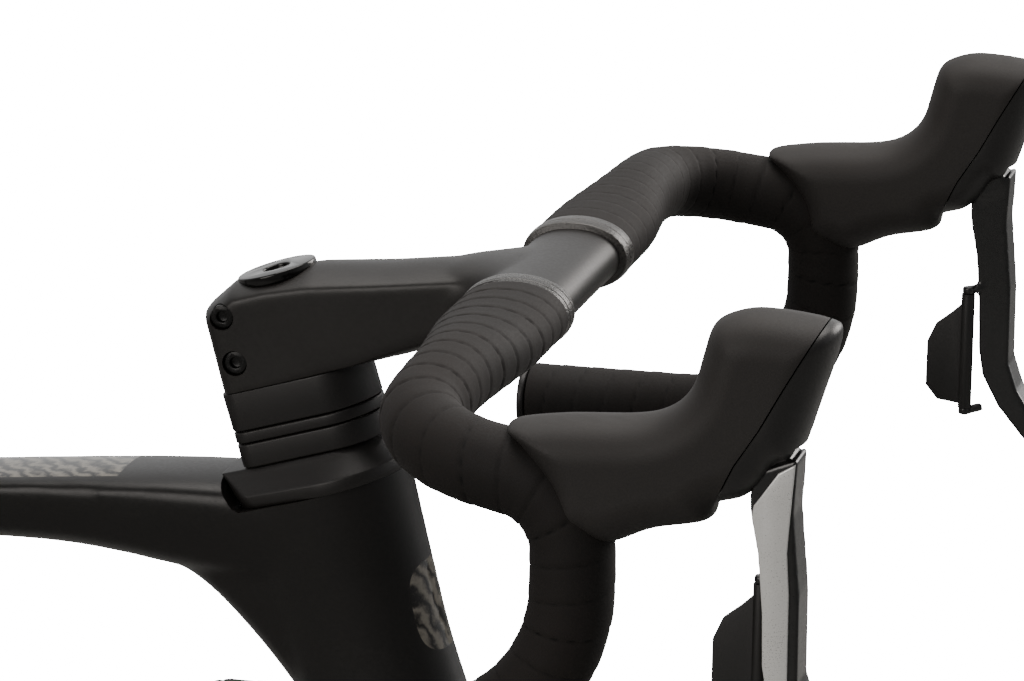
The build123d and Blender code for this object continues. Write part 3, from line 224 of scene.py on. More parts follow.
def outward(obj):
    work = bmesh.new()
    work.from_mesh(obj.data)
    bmesh.ops.remove_doubles(work, verts=work.verts, dist=1e-6)
    bmesh.ops.recalc_face_normals(work, faces=work.faces)
    work.to_mesh(obj.data)
    work.free()
    return obj


def joined(name, shapes):
    """One object from several closed skins."""
    points, faces, base = [], [], 0
    for p, f in shapes:
        points.append(p)
        faces += [tuple(i + base for i in face) for face in f]
        base += len(p)
    return outward(as_object(name, np.vstack(points), faces))


def moulded(name, shapes, voxel, relax, cuts=()):
    """Several closed skins melted into one, relaxed, then cut to a crisp edge."""
    obj = joined(name, shapes)
    melt = obj.modifiers.new("melt", "REMESH")
    melt.mode, melt.voxel_size, melt.adaptivity = "VOXEL", voxel / 1000, 0.0
    calm = obj.modifiers.new("calm", "SMOOTH")
    calm.factor, calm.iterations = 0.5, relax
    return carve(settle(obj), cuts)


def carve(obj, cuts, operation="DIFFERENCE"):
    for shape in cuts:
        cutter = outward(as_object("cutter", *shape))
        knife = obj.modifiers.new("knife", "BOOLEAN")
        knife.operation, knife.solver, knife.object = operation, "EXACT", cutter
        settle(obj)
        bpy.data.objects.remove(cutter)
    return obj


def shade_smooth(obj, angle=35):
    obj.data.shade_smooth()
    obj.data.set_sharp_from_angle(angle=math.radians(angle))
    return obj


def hull_outline(circles, grow=0.0, count=64):
    """The outline stretched round circles (x, y, r)."""
    outline = []
    for k in range(count):
        a = 2 * math.pi * k / count
        d = np.array((math.cos(a), math.sin(a)))
        best = max(circles, key=lambda c: c[0] * d[0] + c[1] * d[1] + c[2])
        outline.append((best[0] + (best[2] + grow) * d[0], best[1] + (best[2] + grow) * d[1]))
    return outline


def cover_rings(gap=0.0, top=14.7):
    """The headset cover's skin: an upright wall, then a dome up to the spacers, and a leaning back."""
    rings = []
    for s, grow in ((0.15, 0.0), (2.5, 0.3), (5.2, 0.2), (6.2, -0.9), (8.5, -3.0), (11.0, -5.3), (13.2, -7.2),
                    (14.7, -8.3)):
        back = -35.4 - 5.6 * s / 14.7 + 10 + grow
        ring = hull_outline([(2.2, 0, 27.8), (back, 13.4, 10), (back, -13.4, 10)], grow + gap, 96)
        rings.append([steer(s if s < 14.7 else top, f, y) for f, y in ring])
    return np.vstack(rings), tube_faces(len(rings), 96)


head = loft([(steer(s, (f + r) / 2), FRONT, ACROSS, (f - r) / 2, w, w, 2.15) for s, f, r, w in (
    (7, 30, -44, 28), (-40, 27.5, -42, 24.5), (-75, 26.2, -39, 23.5), (-120, 28, -37, 26),
    (-160, 31, -36, 30))])
top = loft([((x, 0, z), ACROSS, (0, 0, 1), w, over, under, p) for x, z, w, over, under, p in (
    (292, 824, 26, 8, 42, 2.2), (240, 824, 24.5, 7.6, 34, 2.3), (163, 820.6, 21.5, 3.4, 24.8, 2.4),
    (0, 803.5, 18, 3.2, 22.5, 2.4), (-150, 787.5, 15, 3.6, 21.4, 2.4), (-236, 778, 13, 5, 24, 2.3))])
start = steer(-104)
fall = (BB - start) / np.linalg.norm(BB - start)
under_dir = np.cross(fall, ACROSS)
reach = np.linalg.norm(BB - start)
down = loft([(start + fall * q * reach, under_dir, ACROSS, a, b, b, 2.3) for q, a, b in (
    (0.0, 26, 22), (0.25, 28, 19.5), (0.72, 27, 20), (0.96, 24, 27))])
seat = loft([(BB + SEAT_UP * t, SEAT_FRONT, ACROSS, a, b, b, 2.2) for t, a, b in (
    (0, 20, 20), (60, 20.5, 16.5), (300, 20.5, 13.6), (440, 20.8, 13.9), (557, 21, 14))])
shell = cylinder(BB - ACROSS * 43.5, BB + ACROSS * 43.5, 24.4)
gusset = loft([(np.array((x, 0.0, z)), (0.7, 0, 0.7), ACROSS, r, w, w, 2) for x, z, r, w in (
    (232, 806, 14, 12), (262, 800, 24, 15), (286, 780, 26, 17), (302, 745, 16, 15))])
stays = []
for table, tilt in ((((-100, 24, 264.5, 9, 20), (-215, 31, 283, 8, 14), (-350, 56, 310, 7, 11),
                      (-425, 69.5, 325, 6.5, 10), (-484, 75, 336, 4.6, 9.5)), (0, 0, 1)),
                    (((-196, 10, 631, 7, 11), (-258, 28, 572, 6.5, 10), (-370, 54, 464, 6, 9),
                      (-440, 71, 397, 5.8, 8.8), (-485, 75, 354, 4.6, 8.6)), (-0.690, 0, 0.7236))):
    stay = loft([((x, y, z), ACROSS, tilt, a, b, b, 2.2) for x, y, z, a, b in table])
    stays += [stay, flip(stay)]
cover_room = dict(axis=UP, origin=HEAD, x_dir=FRONT, y_dir=ACROSS)
seat_top = dict(axis=SEAT_UP, origin=BB, x_dir=SEAT_FRONT, y_dir=ACROSS)
square = [(-200, -200), (200, -200), (200, 200), (-200, 200)]
frame_skin = moulded("frame_moulding", [head, top, down, seat, shell, gusset, *stays], 2.3, 9, (
    cover_rings(0.5),
    prism([(-41.9, 60), (-41.9, 14.7), (-40.0, 9.5), (-37.0, 2.2), (-34.5, 0), (90, 0), (90, 60)], -60, 60,
          origin=HEAD, x_dir=FRONT, y_dir=UP),
    prism([(-80, -60), (80, -60), (80, 60), (-80, 60)], 553, 600, **seat_top),
    cylinder(steer(-155.4), steer(-176), 42.5),
    cylinder(BB - ACROSS * 60, BB + ACROSS * 60, 20.6),
    prism(square, 43, 80, origin=BB), prism(square, -80, -43, origin=BB)))


def surface(name, dark, light, rough, grain, depth, **inputs):
    """A Principled surface whose tone, roughness and relief vary with a grain given in millimetres."""
    material = bpy.data.materials.new(name)
    material.use_nodes = True
    tree = material.node_tree
    shader = tree.nodes["Principled BSDF"]
    place = add(tree, "ShaderNodeTexCoord").outputs["Object"]
    broad = add(tree, "ShaderNodeTexNoise", {"Vector": place, "Scale": 16.0, "Detail": 3.0})
    fine = add(tree, "ShaderNodeTexNoise", {"Vector": place, "Scale": 1000.0 / grain, "Detail": 3.0})
    both = add(tree, "ShaderNodeMath", {0: broad.outputs["Fac"], 1: fine.outputs["Fac"]}, operation="ADD")
    tone = add(tree, "ShaderNodeMapRange", {"Value": both.outputs[0], "From Min": 0.7, "From Max": 1.3})
    colour = add(tree, "ShaderNodeMix", {"Factor": tone.outputs[0], 6: srgb(dark), 7: srgb(light)},
                 data_type="RGBA")
    gloss = add(tree, "ShaderNodeMapRange", {"Value": both.outputs[0], "From Min": 0.7, "From Max": 1.3,
                                             "To Min": rough[0], "To Max": rough[1]})
    relief = add(tree, "ShaderNodeBump", {"Height": fine.outputs["Fac"], "Distance": depth / 1000,
                                          "Strength": 0.8})
    tree.links.new(colour.outputs[2], shader.inputs["Base Color"])
    tree.links.new(gloss.outputs[0], shader.inputs["Roughness"])
    tree.links.new(relief.outputs["Normal"], shader.inputs["Normal"])
    for key, value in inputs.items():
        shader.inputs[key.replace("_", " ")].default_value = value
    return material


def put(obj, material, body, *replaced):
    """Gives a finished piece its material and its body, and hides the plain nodes that it stands for."""
    obj.data.materials.clear()
    obj.data.materials.append(material)
    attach(obj, body)
    if replaced:
        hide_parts(*replaced)


# Satin lacquer over carbon: an even, warm black with a fine orange peel of about 1.5 mm.
lacquer = surface("satin lacquer over carbon", "#0e0d0c", "#141211", (0.32, 0.42), 1.5, 0.006,
                  Specular_IOR_Level=0.34)
tree = lacquer.node_tree
shader = tree.nodes["Principled BSDF"]
place = add(tree, "ShaderNodeTexCoord").outputs["Object"]
where = add(tree, "ShaderNodeSeparateXYZ", {0: place})
facing = add(tree, "ShaderNodeSeparateXYZ", {0: add(tree, "ShaderNodeNewGeometry").outputs["True Normal"]})
# The window lies on the flat of the top tube: it shows a 4 mm twill under clear lacquer, whose light flecks
# are partly painted reflection.
window = None
for source, low, high in ((where.outputs["X"], 0.06, 0.212), (where.outputs["Y"], -0.0145, 0.0145),
                          (facing.outputs["Z"], 0.80, 2.0), (where.outputs["Z"], 0.78, 0.84)):
    centre, half = (low + high) / 2, (high - low) / 2
    inside = add(tree, "ShaderNodeMath", {0: source, 1: centre, 2: half}, operation="COMPARE").outputs[0]
    window = inside if window is None else add(tree, "ShaderNodeMath", {0: window, 1: inside},
                                               operation="MULTIPLY").outputs[0]
# The plate wraps the front of the head tube, 36 mm tall and 30 mm wide with rounded corners, and is blank; it
# takes the window's glossy twill with its painted reflection flecks.
rows = []
for source, scale, shift in ((add(tree, "ShaderNodeVectorMath", {0: place, 1: tuple(UP)},
                                  operation="DOT_PRODUCT").outputs["Value"], 1 / 0.018, -0.6515 / 0.018),
                             (where.outputs["Y"], 1 / 0.015, 0.0)):
    span = add(tree, "ShaderNodeMath", {0: source, 1: scale, 2: shift}, operation="MULTIPLY_ADD")
    size = add(tree, "ShaderNodeMath", {0: span.outputs[0]}, operation="ABSOLUTE")
    rows.append(add(tree, "ShaderNodeMath", {0: size.outputs[0], 1: 4.0}, operation="POWER").outputs[0])
round_plate = add(tree, "ShaderNodeMath", {0: rows[0], 1: rows[1]}, operation="ADD")
within = add(tree, "ShaderNodeMath", {0: round_plate.outputs[0], 1: 1.0}, operation="LESS_THAN")
front_of = add(tree, "ShaderNodeVectorMath", {0: place, 1: tuple(FRONT)}, operation="DOT_PRODUCT")
on_front = add(tree, "ShaderNodeMath", {0: front_of.outputs["Value"], 1: 0.536}, operation="GREATER_THAN")
plate_mask = add(tree, "ShaderNodeMath", {0: within.outputs[0], 1: on_front.outputs[0]}, operation="MULTIPLY")
window = add(tree, "ShaderNodeMath", {0: window, 1: plate_mask.outputs[0]}, operation="MAXIMUM").outputs[0]
twill = add(tree, "ShaderNodeTexWave", {"Vector": place, "Scale": 60.0, "Distortion": 6.0, "Detail": 3.0,
                                        "Detail Scale": 2.4}, bands_direction="DIAGONAL")
# Painted reflection: the twill's light grey flecks stand in part for reflections in the clear lacquer.
twill_and_painted_reflection_fleck = add(tree, "ShaderNodeMix", {"Factor": twill.outputs["Fac"], 6: srgb("#12100f"), 7: srgb("#6b675f")},
            data_type="RGBA")
base = shader.inputs["Base Color"].links[0].from_socket
mixed = add(tree, "ShaderNodeMix", {"Factor": window, 6: base, 7: twill_and_painted_reflection_fleck.outputs[2]}, data_type="RGBA")
tree.links.new(mixed.outputs[2], shader.inputs["Base Color"])
rough = shader.inputs["Roughness"].links[0].from_socket
slick = add(tree, "ShaderNodeMix", {"Factor": window, "A": rough, "B": 0.08})
tree.links.new(slick.outputs["Result"], shader.inputs["Roughness"])

put(shade_smooth(frame_skin, 40), lacquer, "frame", "head_tube", "top_tube", "down_tube", "seat_tube",
    "chainstays", "seatstays")


# The dropouts: forged aluminium plates bonded into the stays' tips, black anodised. The right one carries
# the hanger for the rear derailleur, and both are drilled for the 12 mm axle.
def rounded(obj, width, segments=3, angle=35):
    """Breaks the object's sharp edges by a width in millimetres."""
    edge = obj.modifiers.new("edge", "BEVEL")
    edge.width, edge.segments, edge.limit_method = width / 1000, segments, "ANGLE"
    edge.angle_limit = math.radians(angle)
    edge.harden_normals = False
    return shade_smooth(settle(obj))


anodised = surface("black anodised aluminium", "#101010", "#1a1a1a", (0.30, 0.42), 0.8, 0.004, Metallic=0.55)
left_plate = prism(hull_outline([(0, 0, 17), (22, -3, 8)], 0, 48), 71, 78, origin=REAR)
hanger = prism(hull_outline([(0, 0, 17), (22, -3, 8)], 0, 48), -78, -71, origin=REAR)
claw = prism(hull_outline([(0, 0, 13), (-8, -29, 10)], 0, 48), -78, -71, origin=REAR)
for name, shapes in (("dropout_left", [left_plate]), ("dropout_right", [hanger, claw])):
    plates = moulded(name, shapes, 0.9, 4, (cylinder(REAR - ACROSS * 90, REAR + ACROSS * 90, 6.1),))
    put(shade_smooth(plates), anodised, "frame")


# Headset cover, spacers and top cap: moulded nylon shells stacked under the stem, with a shadow line
# between each two. The cap is turned aluminium with a 5 mm hexagon socket.
def softened(node, material, width=0.45, segments=2, angle=38):
    """A node's own shape with its edges broken, as a turned, forged or moulded piece has them."""
    obj = nodes[node].copy()
    obj.data = nodes[node].data.copy()
    obj.name = node + "_finished"
    obj.parent = None
    obj.matrix_world = Matrix.Identity(4)
    scene.collection.objects.link(obj)
    work = bmesh.new()
    work.from_mesh(obj.data)
    bmesh.ops.remove_doubles(work, verts=work.verts, dist=2e-6)
    bmesh.ops.dissolve_limit(work, angle_limit=math.radians(1.0), verts=work.verts, edges=work.edges)
    work.to_mesh(obj.data)
    work.free()
    put(rounded(obj, width, segments, angle), material, body_of[node], node)
    return obj


nylon = surface("moulded nylon", "#111010", "#191716", (0.38, 0.5), 0.7, 0.012, Specular_IOR_Level=0.4)
SPACER = hull_outline([(8, 0, 19.0), (-24.6, 11.6, 7), (-24.6, -11.6, 7)], 0, 96)
for k, (low, high) in enumerate(((15.1, 24.55), (25.05, 29.55), (30.05, 45.6))):
    ring = outward(as_object(f"headset_spacer_{k + 1}", *prism(SPACER, low, high, **cover_room)))
    carve(ring, (cylinder(steer(low - 3), steer(high + 3), 14.4),))
    put(rounded(ring, 0.7, 3, 40), nylon, "steering", *(["headset_spacers"] if k == 0 else []))
softened("top_cap", surface("turned aluminium, black", "#0c0b0b", "#131211", (0.10, 0.18), 0.6, 0.001,
                            Metallic=0.3), 0.7, 3)
lid = outward(as_object("headset_cover_shell", *cover_rings()))
carve(lid, (cylinder(steer(-2), steer(20), 14.7),))
put(rounded(lid, 0.5, 2, 40), nylon, "frame", "headset_cover")


# Stem and bar: one carbon moulding. The stem's back is a flat that grips the steerer with two bolts, its
# crown falls to a soft ridge on each side, and it flares into a bar with a wing section.
CAP = np.array((272.684, 0.0, 914.480))


def stem_layer(t):
    """The stem's outline at t from its middle (0) to its side (1)."""
    t2, t6 = t * t, t ** 6
    return [(-25.8 + 5 * t6, -15.6 - 3.6 * t2), (-15 + 3 * t6, -5.4 - 4.6 * t2), (0, -1.0 - 5.2 * t2),
            (17.5, 3.4 - 6.2 * t2), (47, 6.0 - 5.4 * t2), (79, 10.2 - 5.6 * t2), (98, 13.4 - 5 * t2),
            (103, -6.5 + 4 * t6), (82, -17.5 + 5 * t6), (57.5, -27.2 + 5 * t6), (36.5, -33.4 + 1.2 * t6),
            (-17.3 + 5 * t6, -49.4)]


layers = [-1, -0.97, -0.88, -0.7, -0.45, -0.2, 0, 0.2, 0.45, 0.7, 0.88, 0.97, 1]
body = [CAP + np.array((x, 19.9 * t, z)) for t in layers for x, z in stem_layer(abs(t))]
stem = (np.array(body), tube_faces(len(layers), 12))
flare = loft([(CAP + np.array((x, 0, z)), ACROSS, (0, 0, 1), w, over, under, 2.3)
              for x, z, w, over, under in (
    (58, -8, 18.6, 13, 17), (76, -2, 20.4, 12.2, 15), (88, 0.6, 25, 11.6, 12.6), (98, 2.0, 34, 11, 11.2),
    (108, 2.6, 47, 10, 10))])
wing = loft([(CAP + np.array((108.9, y, 2.6)), (1, 0, 0), (0, 0, 1), 18.4, 11.2, 11.2, 2.15)
             for y in (-66, -30, 0, 30, 66)])
BOLTS = (11.4, 30.1)
heads = [CAP - UP * s - FRONT * 20.5 for s in BOLTS]
pockets = [cylinder(bolt - ACROSS * 30, bolt - ACROSS * 14.5, 5.0) for bolt in heads]
flat_low = prism([(-90, -60), (32, -60), (32, 60), (-90, 60)], -60, -41.4, axis=UP, origin=CAP, x_dir=FRONT,
                 y_dir=ACROSS)
stem_skin = moulded("stem_and_bar_moulding", [stem, flare, wing], 1.1, 18,
                    (*pockets, flat_low, cylinder(CAP - UP * 3.7, CAP + UP * 20, 15.75)))
bar_lacquer = surface("satin lacquer on the cockpit", "#141211", "#1b1917", (0.36, 0.46), 1.2, 0.008,
                       Specular_IOR_Level=0.4)
put(shade_smooth(stem_skin, 40), bar_lacquer, "steering", "stem", "handlebar")
steel = surface("blackened steel screws", "#1d1d1d", "#2f2f2f", (0.25, 0.4), 0.6, 0.003, Metallic=0.8)
softened("stem_bolts", steel, 0.35, 2)


# Bar tape: a cork and foam ribbon, 30 mm wide and 2.3 mm thick, wound from the drops to the tops. Each turn
# laps the one before it, which leaves a slanting step about every 13 mm, with painted shade at its foot.
def rounded_path(corners, radii, step):
    """Points along straight runs whose corners are rounded to those radii."""
    corners = [np.asarray(c, float) for c in corners]
    points = [corners[0]]
    for k in range(1, len(corners) - 1):
        a, b = corners[k - 1] - corners[k], corners[k + 1] - corners[k]
        a, b = a / np.linalg.norm(a), b / np.linalg.norm(b)
        half = math.acos(np.clip(a @ b, -1, 1)) / 2
        cut = radii[k - 1] / math.tan(half)
        centre = corners[k] + (a + b) / np.linalg.norm(a + b) * radii[k - 1] / math.sin(half)
        p, q = corners[k] + a * cut - centre, corners[k] + b * cut - centre
        turn = math.acos(np.clip(p @ q / radii[k - 1] ** 2, -1, 1))
        for i in range(25):
            t = i / 24
            points.append(centre + (p * math.sin((1 - t) * turn) + q * math.sin(t * turn)) / math.sin(turn))
    points.append(corners[-1])
    points = np.array(points)
    run = np.concatenate(([0], np.cumsum(np.linalg.norm(np.diff(points, axis=0), axis=1))))
    even = np.arange(0, run[-1], step)
    return np.stack([np.interp(even, run, points[:, i]) for i in range(3)], 1), even


def sleeve(name, path, along, size, count, side):
    """A closed sleeve round a path, with its length and turn kept on each point."""
    tangent = np.gradient(path, axis=0)
    tangent /= np.linalg.norm(tangent, axis=1)[:, None]
    u = np.array((1.0, 0, 0))
    points, turns, lengths = [], [], []
    for p, t, s in zip(path, tangent, along):
        u = u - t * (u @ t)
        u /= np.linalg.norm(u)
        v = np.cross(t, u)
        w, h, power = size(s)
        for i in range(count):
            a = 2 * math.pi * i / count
            c, d = math.cos(a), math.sin(a)
            c, d = math.copysign(abs(c) ** (2 / power), c), math.copysign(abs(d) ** (2 / power), d)
            points.append(p + u * c * w + v * d * h)
            turns.append(i / count)
            lengths.append(s)
    shape = (np.array(points), tube_faces(len(path), count))
    obj = as_object(name, *(shape if side > 0 else flip(shape)))
    for key, values in (("turn", turns), ("along", lengths)):
        obj.data.attributes.new(key, "FLOAT", "POINT").data.foreach_set("value", values)
    return outward_kept(obj)


def outward_kept(obj):
    work = bmesh.new()
    work.from_mesh(obj.data)
    bmesh.ops.recalc_face_normals(work, faces=work.faces)
    work.to_mesh(obj.data)
    work.free()
    return obj


def node_group(name, **sizes):
    """A tree that takes a geometry, its named inputs by kind of socket, and a finish."""
    group = bpy.data.node_groups.new(name, "GeometryNodeTree")
    for label, kind in {"Geometry": "Geometry", **sizes, "Finish": "Material"}.items():
        group.interface.new_socket(label, in_out="INPUT", socket_type="NodeSocket" + kind)
    group.interface.new_socket("Geometry", in_out="OUTPUT", socket_type="NodeSocketGeometry")
    return group, add(group, "NodeGroupInput")


def finished(group, given, geometry):
    """The end of a tree: plain mesh in its finish."""
    real = add(group, "GeometryNodeRealizeInstances", {"Geometry": geometry})
    dressed = add(group, "GeometryNodeSetMaterial", {"Geometry": real.outputs[0],
                                                     "Material": given.outputs["Finish"]})
    add(group, "NodeGroupOutput", {0: dressed.outputs[0]})


laps, given = node_group("overlapping turns", Pitch="Float", Turns="Float", Rise="Float")
length = add(laps, "GeometryNodeInputNamedAttribute", {"Name": "along"}, data_type="FLOAT")
round_it = add(laps, "GeometryNodeInputNamedAttribute", {"Name": "turn"}, data_type="FLOAT")
count_of = add(laps, "ShaderNodeMath", {0: length.outputs[0], 1: given.outputs["Pitch"]}, operation="DIVIDE")
slant = add(laps, "ShaderNodeMath", {0: round_it.outputs[0], 1: given.outputs["Turns"],
                                     2: count_of.outputs[0]}, operation="MULTIPLY_ADD")
saw = add(laps, "ShaderNodeMath", {0: slant.outputs[0]}, operation="FRACT")
ramp = add(laps, "ShaderNodeFloatCurve", {1: saw.outputs[0]})
for at, height in ((0.05, 0.75), (0.5, 0.88), (0.92, 1.0)):
    ramp.mapping.curves[0].points.new(at, height)
ramp.mapping.curves[0].points[0].location = (0, 0)
ramp.mapping.curves[0].points[-1].location = (1, 0)
ramp.mapping.update()
rise = add(laps, "ShaderNodeMath", {0: ramp.outputs[0], 1: given.outputs["Rise"]}, operation="MULTIPLY")
push = add(laps, "ShaderNodeVectorMath", {0: add(laps, "GeometryNodeInputNormal").outputs[0],
                                          "Scale": rise.outputs[0]}, operation="SCALE")
# The lap profile is kept as "lap" so the finish can paint shade at the foot of each step.
kept = add(laps, "GeometryNodeStoreNamedAttribute", {"Geometry": given.outputs["Geometry"], "Name": "lap",
                                                     "Value": ramp.outputs[0]}, data_type="FLOAT")
moved = add(laps, "GeometryNodeSetPosition", {"Geometry": kept.outputs[0], "Offset": push.outputs[0]})
finished(laps, given, moved.outputs[0])


def run_nodes(obj, group, **values):
    """Puts a node group on an object with its named inputs, and keeps the result as a plain mesh."""
    build = obj.modifiers.new(group.name, "NODES")
    build.node_group = group
    for item in group.interface.items_tree:
        if item.in_out == "INPUT" and item.name in values:
            build[item.identifier] = values[item.name]
    return settle(obj)


cork = surface("cork and foam bar tape", "#141211", "#1f1b19", (0.68, 0.82), 0.9, 0.06,
               Specular_IOR_Level=0.25)
tree = cork.node_tree
shader = tree.nodes["Principled BSDF"]
# Painted shade: the tape turns near-black (#040404) at the foot of each lap step, where the crease between
# turns lies in shade.
lap = add(tree, "ShaderNodeAttribute", attribute_name="lap")
edge = add(tree, "ShaderNodeMapRange", {"Value": lap.outputs["Fac"], "From Min": 0.1, "From Max": 0.8})
lap_step_painted_shade = add(tree, "ShaderNodeMix", {"Factor": edge.outputs[0], 6: srgb("#040404"),
                                   7: shader.inputs["Base Color"].links[0].from_socket}, data_type="RGBA")
tree.links.new(lap_step_painted_shade.outputs[2], shader.inputs["Base Color"])
tube_line, run = rounded_path([CAP + np.array(p) for p in (
    (108.9, 49.0, 2.6), (108.9, 150, 2.6), (108.9, 205, -2), (173.5, 214, -12), (173.5, 214.5, -106),
    (47.9, 216, -107.9))], (400, 38, 26, 60), 0.9)


def tape_size(s):
    t = min(max((s - 31) / 70, 0), 1)
    t = t * t * (3 - 2 * t)
    return 20.4 + (14.0 - 20.4) * t, 12.9 + (14.0 - 12.9) * t, 2.1


for name, side, node in (("left", 1, "bar_tape"), ("right", -1, None)):
    tape = sleeve("bar_tape_" + name, tube_line, run, tape_size, 44, side)
    run_nodes(tape, laps, Pitch=13.0, Turns=1.0, Rise=0.0009, Finish=cork)
    put(shade_smooth(tape, 60), cork, "steering", *([node] if node else []))


# Finishing bands: grey woven tape, ribbed about every millimetre and a half, pulled tight round the
# tape's inner ends. The bar-end plugs are moulded nylon pushed into the tube.
woven = surface("grey woven finishing band", "#191817", "#403e3b", (0.22, 0.36), 0.9, 0.30)
band_line, band_run = rounded_path([CAP + np.array((108.9, y, 2.6)) for y in (40.5, 53.5)], (), 0.3)


def band_size(s):
    swell = 0.9 * math.sin(min(max(s / 13, 0.02), 0.98) * math.pi) ** 0.5
    return 20.4 + swell, 12.9 + swell, 2.1


for name, side in (("left", 1), ("right", -1)):
    band = sleeve("finishing_band_" + name, band_line, band_run, band_size, 72, side)
    run_nodes(band, laps, Pitch=1.6, Turns=0.0, Rise=0.0003, Finish=woven)
    put(shade_smooth(band, 70), woven, "steering")
softened("bar_end_plugs", nylon, 1.2, 3)


# Brake hoods and brackets: a soft rubber sleeve stretched over a hard glass-filled nylon bracket, which
# shows at the front beyond a slanting seam. The lever swings in a slot in the bracket.
HOOD = ((149.5, 9.6), (167.7, 13.9), (195.5, 16.4), (207.4, 20.8), (214.4, 28.8), (217.8, 40.7),
        (221.3, 51.1), (229.2, 55.6), (239.8, 57.1), (260, 54.9), (264.8, 49.6), (258.5, 26.4),
        (252.1, 7.5), (246.1, 4), (241.2, -3.4), (234.5, -8.9), (225.3, -11.9), (220.8, -18.4),
        (202.4, -22.8), (187.2, -29.2), (175.7, -27.3), (167.3, -22.7), (164.1, -9.9), (156.4, 1.3))
SEAM = [(268, 68), (248.5, 33.4), (240.7, 18.8), (232.5, 5.8), (223.5, -13), (223.5, -40), (300, -40),
        (300, 68)]
SLOT = [(259, 13.5), (256.5, -34), (223, -34), (223, -13), (233.5, 6)]
HOOD_Y, PIVOT = 212.0, (243.0, 5.5)


def rounded_outline(corners, steps=6):
    """A smooth closed line through the corners."""
    p = np.asarray(corners, float)
    a, b, c, d = np.roll(p, 1, 0), p, np.roll(p, -1, 0), np.roll(p, -2, 0)
    return np.concatenate([[0.5 * (2 * b + (c - a) * t + (2 * a - 5 * b + 4 * c - d) * t * t
                                   + (3 * b - a - 3 * c + d) * t ** 3)] for t in np.arange(steps) / steps]
                          ).transpose(1, 0, 2).reshape(-1, 2)


def pillow(outline, half_width, edge, step=0.9):
    """An outline filled to a half width, its two faces rounding to the edge over a given distance."""
    low, high = outline.min(0) - step, outline.max(0) + step
    nx, nz = (np.ceil((high - low) / step)).astype(int) + 1
    grid = np.stack(np.meshgrid(low[0] + step * np.arange(nx), low[1] + step * np.arange(nz), indexing="ij"),
                    -1).reshape(-1, 2)
    a, b = outline, np.roll(outline, -1, 0)
    along = np.clip(((grid[:, None] - a) * (b - a)).sum(2) / ((b - a) ** 2).sum(1), 0, 1)
    foot = a + (b - a) * along[..., None]
    gap = np.linalg.norm(grid[:, None] - foot, axis=2)
    best = gap.argmin(1)
    crossed = ((a[:, 1] > grid[:, 1:]) != (b[:, 1] > grid[:, 1:])) & (
        grid[:, :1] < (b[:, 0] - a[:, 0]) * (grid[:, 1:] - a[:, 1]) / (b[:, 1] - a[:, 1] + 1e-12) + a[:, 0])
    inside = crossed.sum(1) % 2 == 1
    depth = np.where(inside, gap[np.arange(len(grid)), best], 0)
    flat = np.where(inside[:, None], grid, foot[np.arange(len(grid)), best])
    t = np.clip(depth / edge, 0, 1)
    h = half_width * np.sqrt(1 - (1 - t) ** 2)
    n = len(grid)
    points = np.vstack([np.stack((flat[:, 0], HOOD_Y + sign * h, flat[:, 1]), 1) for sign in (1, -1)])
    seam = np.where(inside, np.arange(n) + n, np.arange(n))
    faces = []
    for i in range(nx - 1):
        for j in range(nz - 1):
            q = (i * nz + j, i * nz + j + 1, (i + 1) * nz + j + 1, (i + 1) * nz + j)
            if inside[list(q)].any():
                faces += [q, tuple(int(seam[k]) for k in q[::-1])]
    used = np.unique([k for f in faces for k in f])
    place = {int(k): i for i, k in enumerate(used)}
    return points[used], [tuple(place[int(k)] for k in f) for f in faces]


rubber = surface("matt hood rubber", "#1d1b1a", "#292624", (0.56, 0.68), 0.55, 0.04, Specular_IOR_Level=0.35)
bracket_nylon = surface("glass-filled nylon bracket", "#121111", "#1a1918", (0.36, 0.46), 0.8, 0.015)
for name, side in (("left", 1), ("right", -1)):
    def placed(shape):
        shape = (np.asarray(shape[0]) + CAP, shape[1])
        return shape if side > 0 else flip(shape)

    whole = placed(pillow(rounded_outline(HOOD), 17.0, 13.5))
    front_room = placed(prism(SEAM, HOOD_Y - 30, HOOD_Y + 30))
    back_room = placed(prism([(x - 0.55, z) for x, z in SEAM], HOOD_Y - 30, HOOD_Y + 30))
    slot_room = placed(prism(SLOT, HOOD_Y - 8.7, HOOD_Y + 8.7))
    swing = placed(cylinder((PIVOT[0], HOOD_Y - 8.7, PIVOT[1]), (PIVOT[0], HOOD_Y + 8.7, PIVOT[1]), 9.6))
    hood = moulded("hood_rubber_" + name, [whole], 1.0, 10, (back_room,))
    put(shade_smooth(hood, 50), rubber, "steering", "hood_" + name)
    bracket = moulded("bracket_" + name, [whole], 1.0, 10)
    carve(bracket, (front_room,), "INTERSECT")
    carve(bracket, (slot_room, swing))
    put(shade_smooth(bracket, 50), bracket_nylon, "steering", "shifter_bracket_" + name)


# Brake levers and shift paddles: a forged lever in black with a polished aluminium plate on its outer
# face, and a moulded paddle hinged on a steel pin behind it.
def dense(outline, step=3.0):
    points = []
    for a, b in zip(outline, outline[1:] + outline[:1]):
        n = max(1, int(math.dist(a, b) / step))
        points += [(a[0] + (b[0] - a[0]) * i / n, a[1] + (b[1] - a[1]) * i / n) for i in range(n)]
    return points


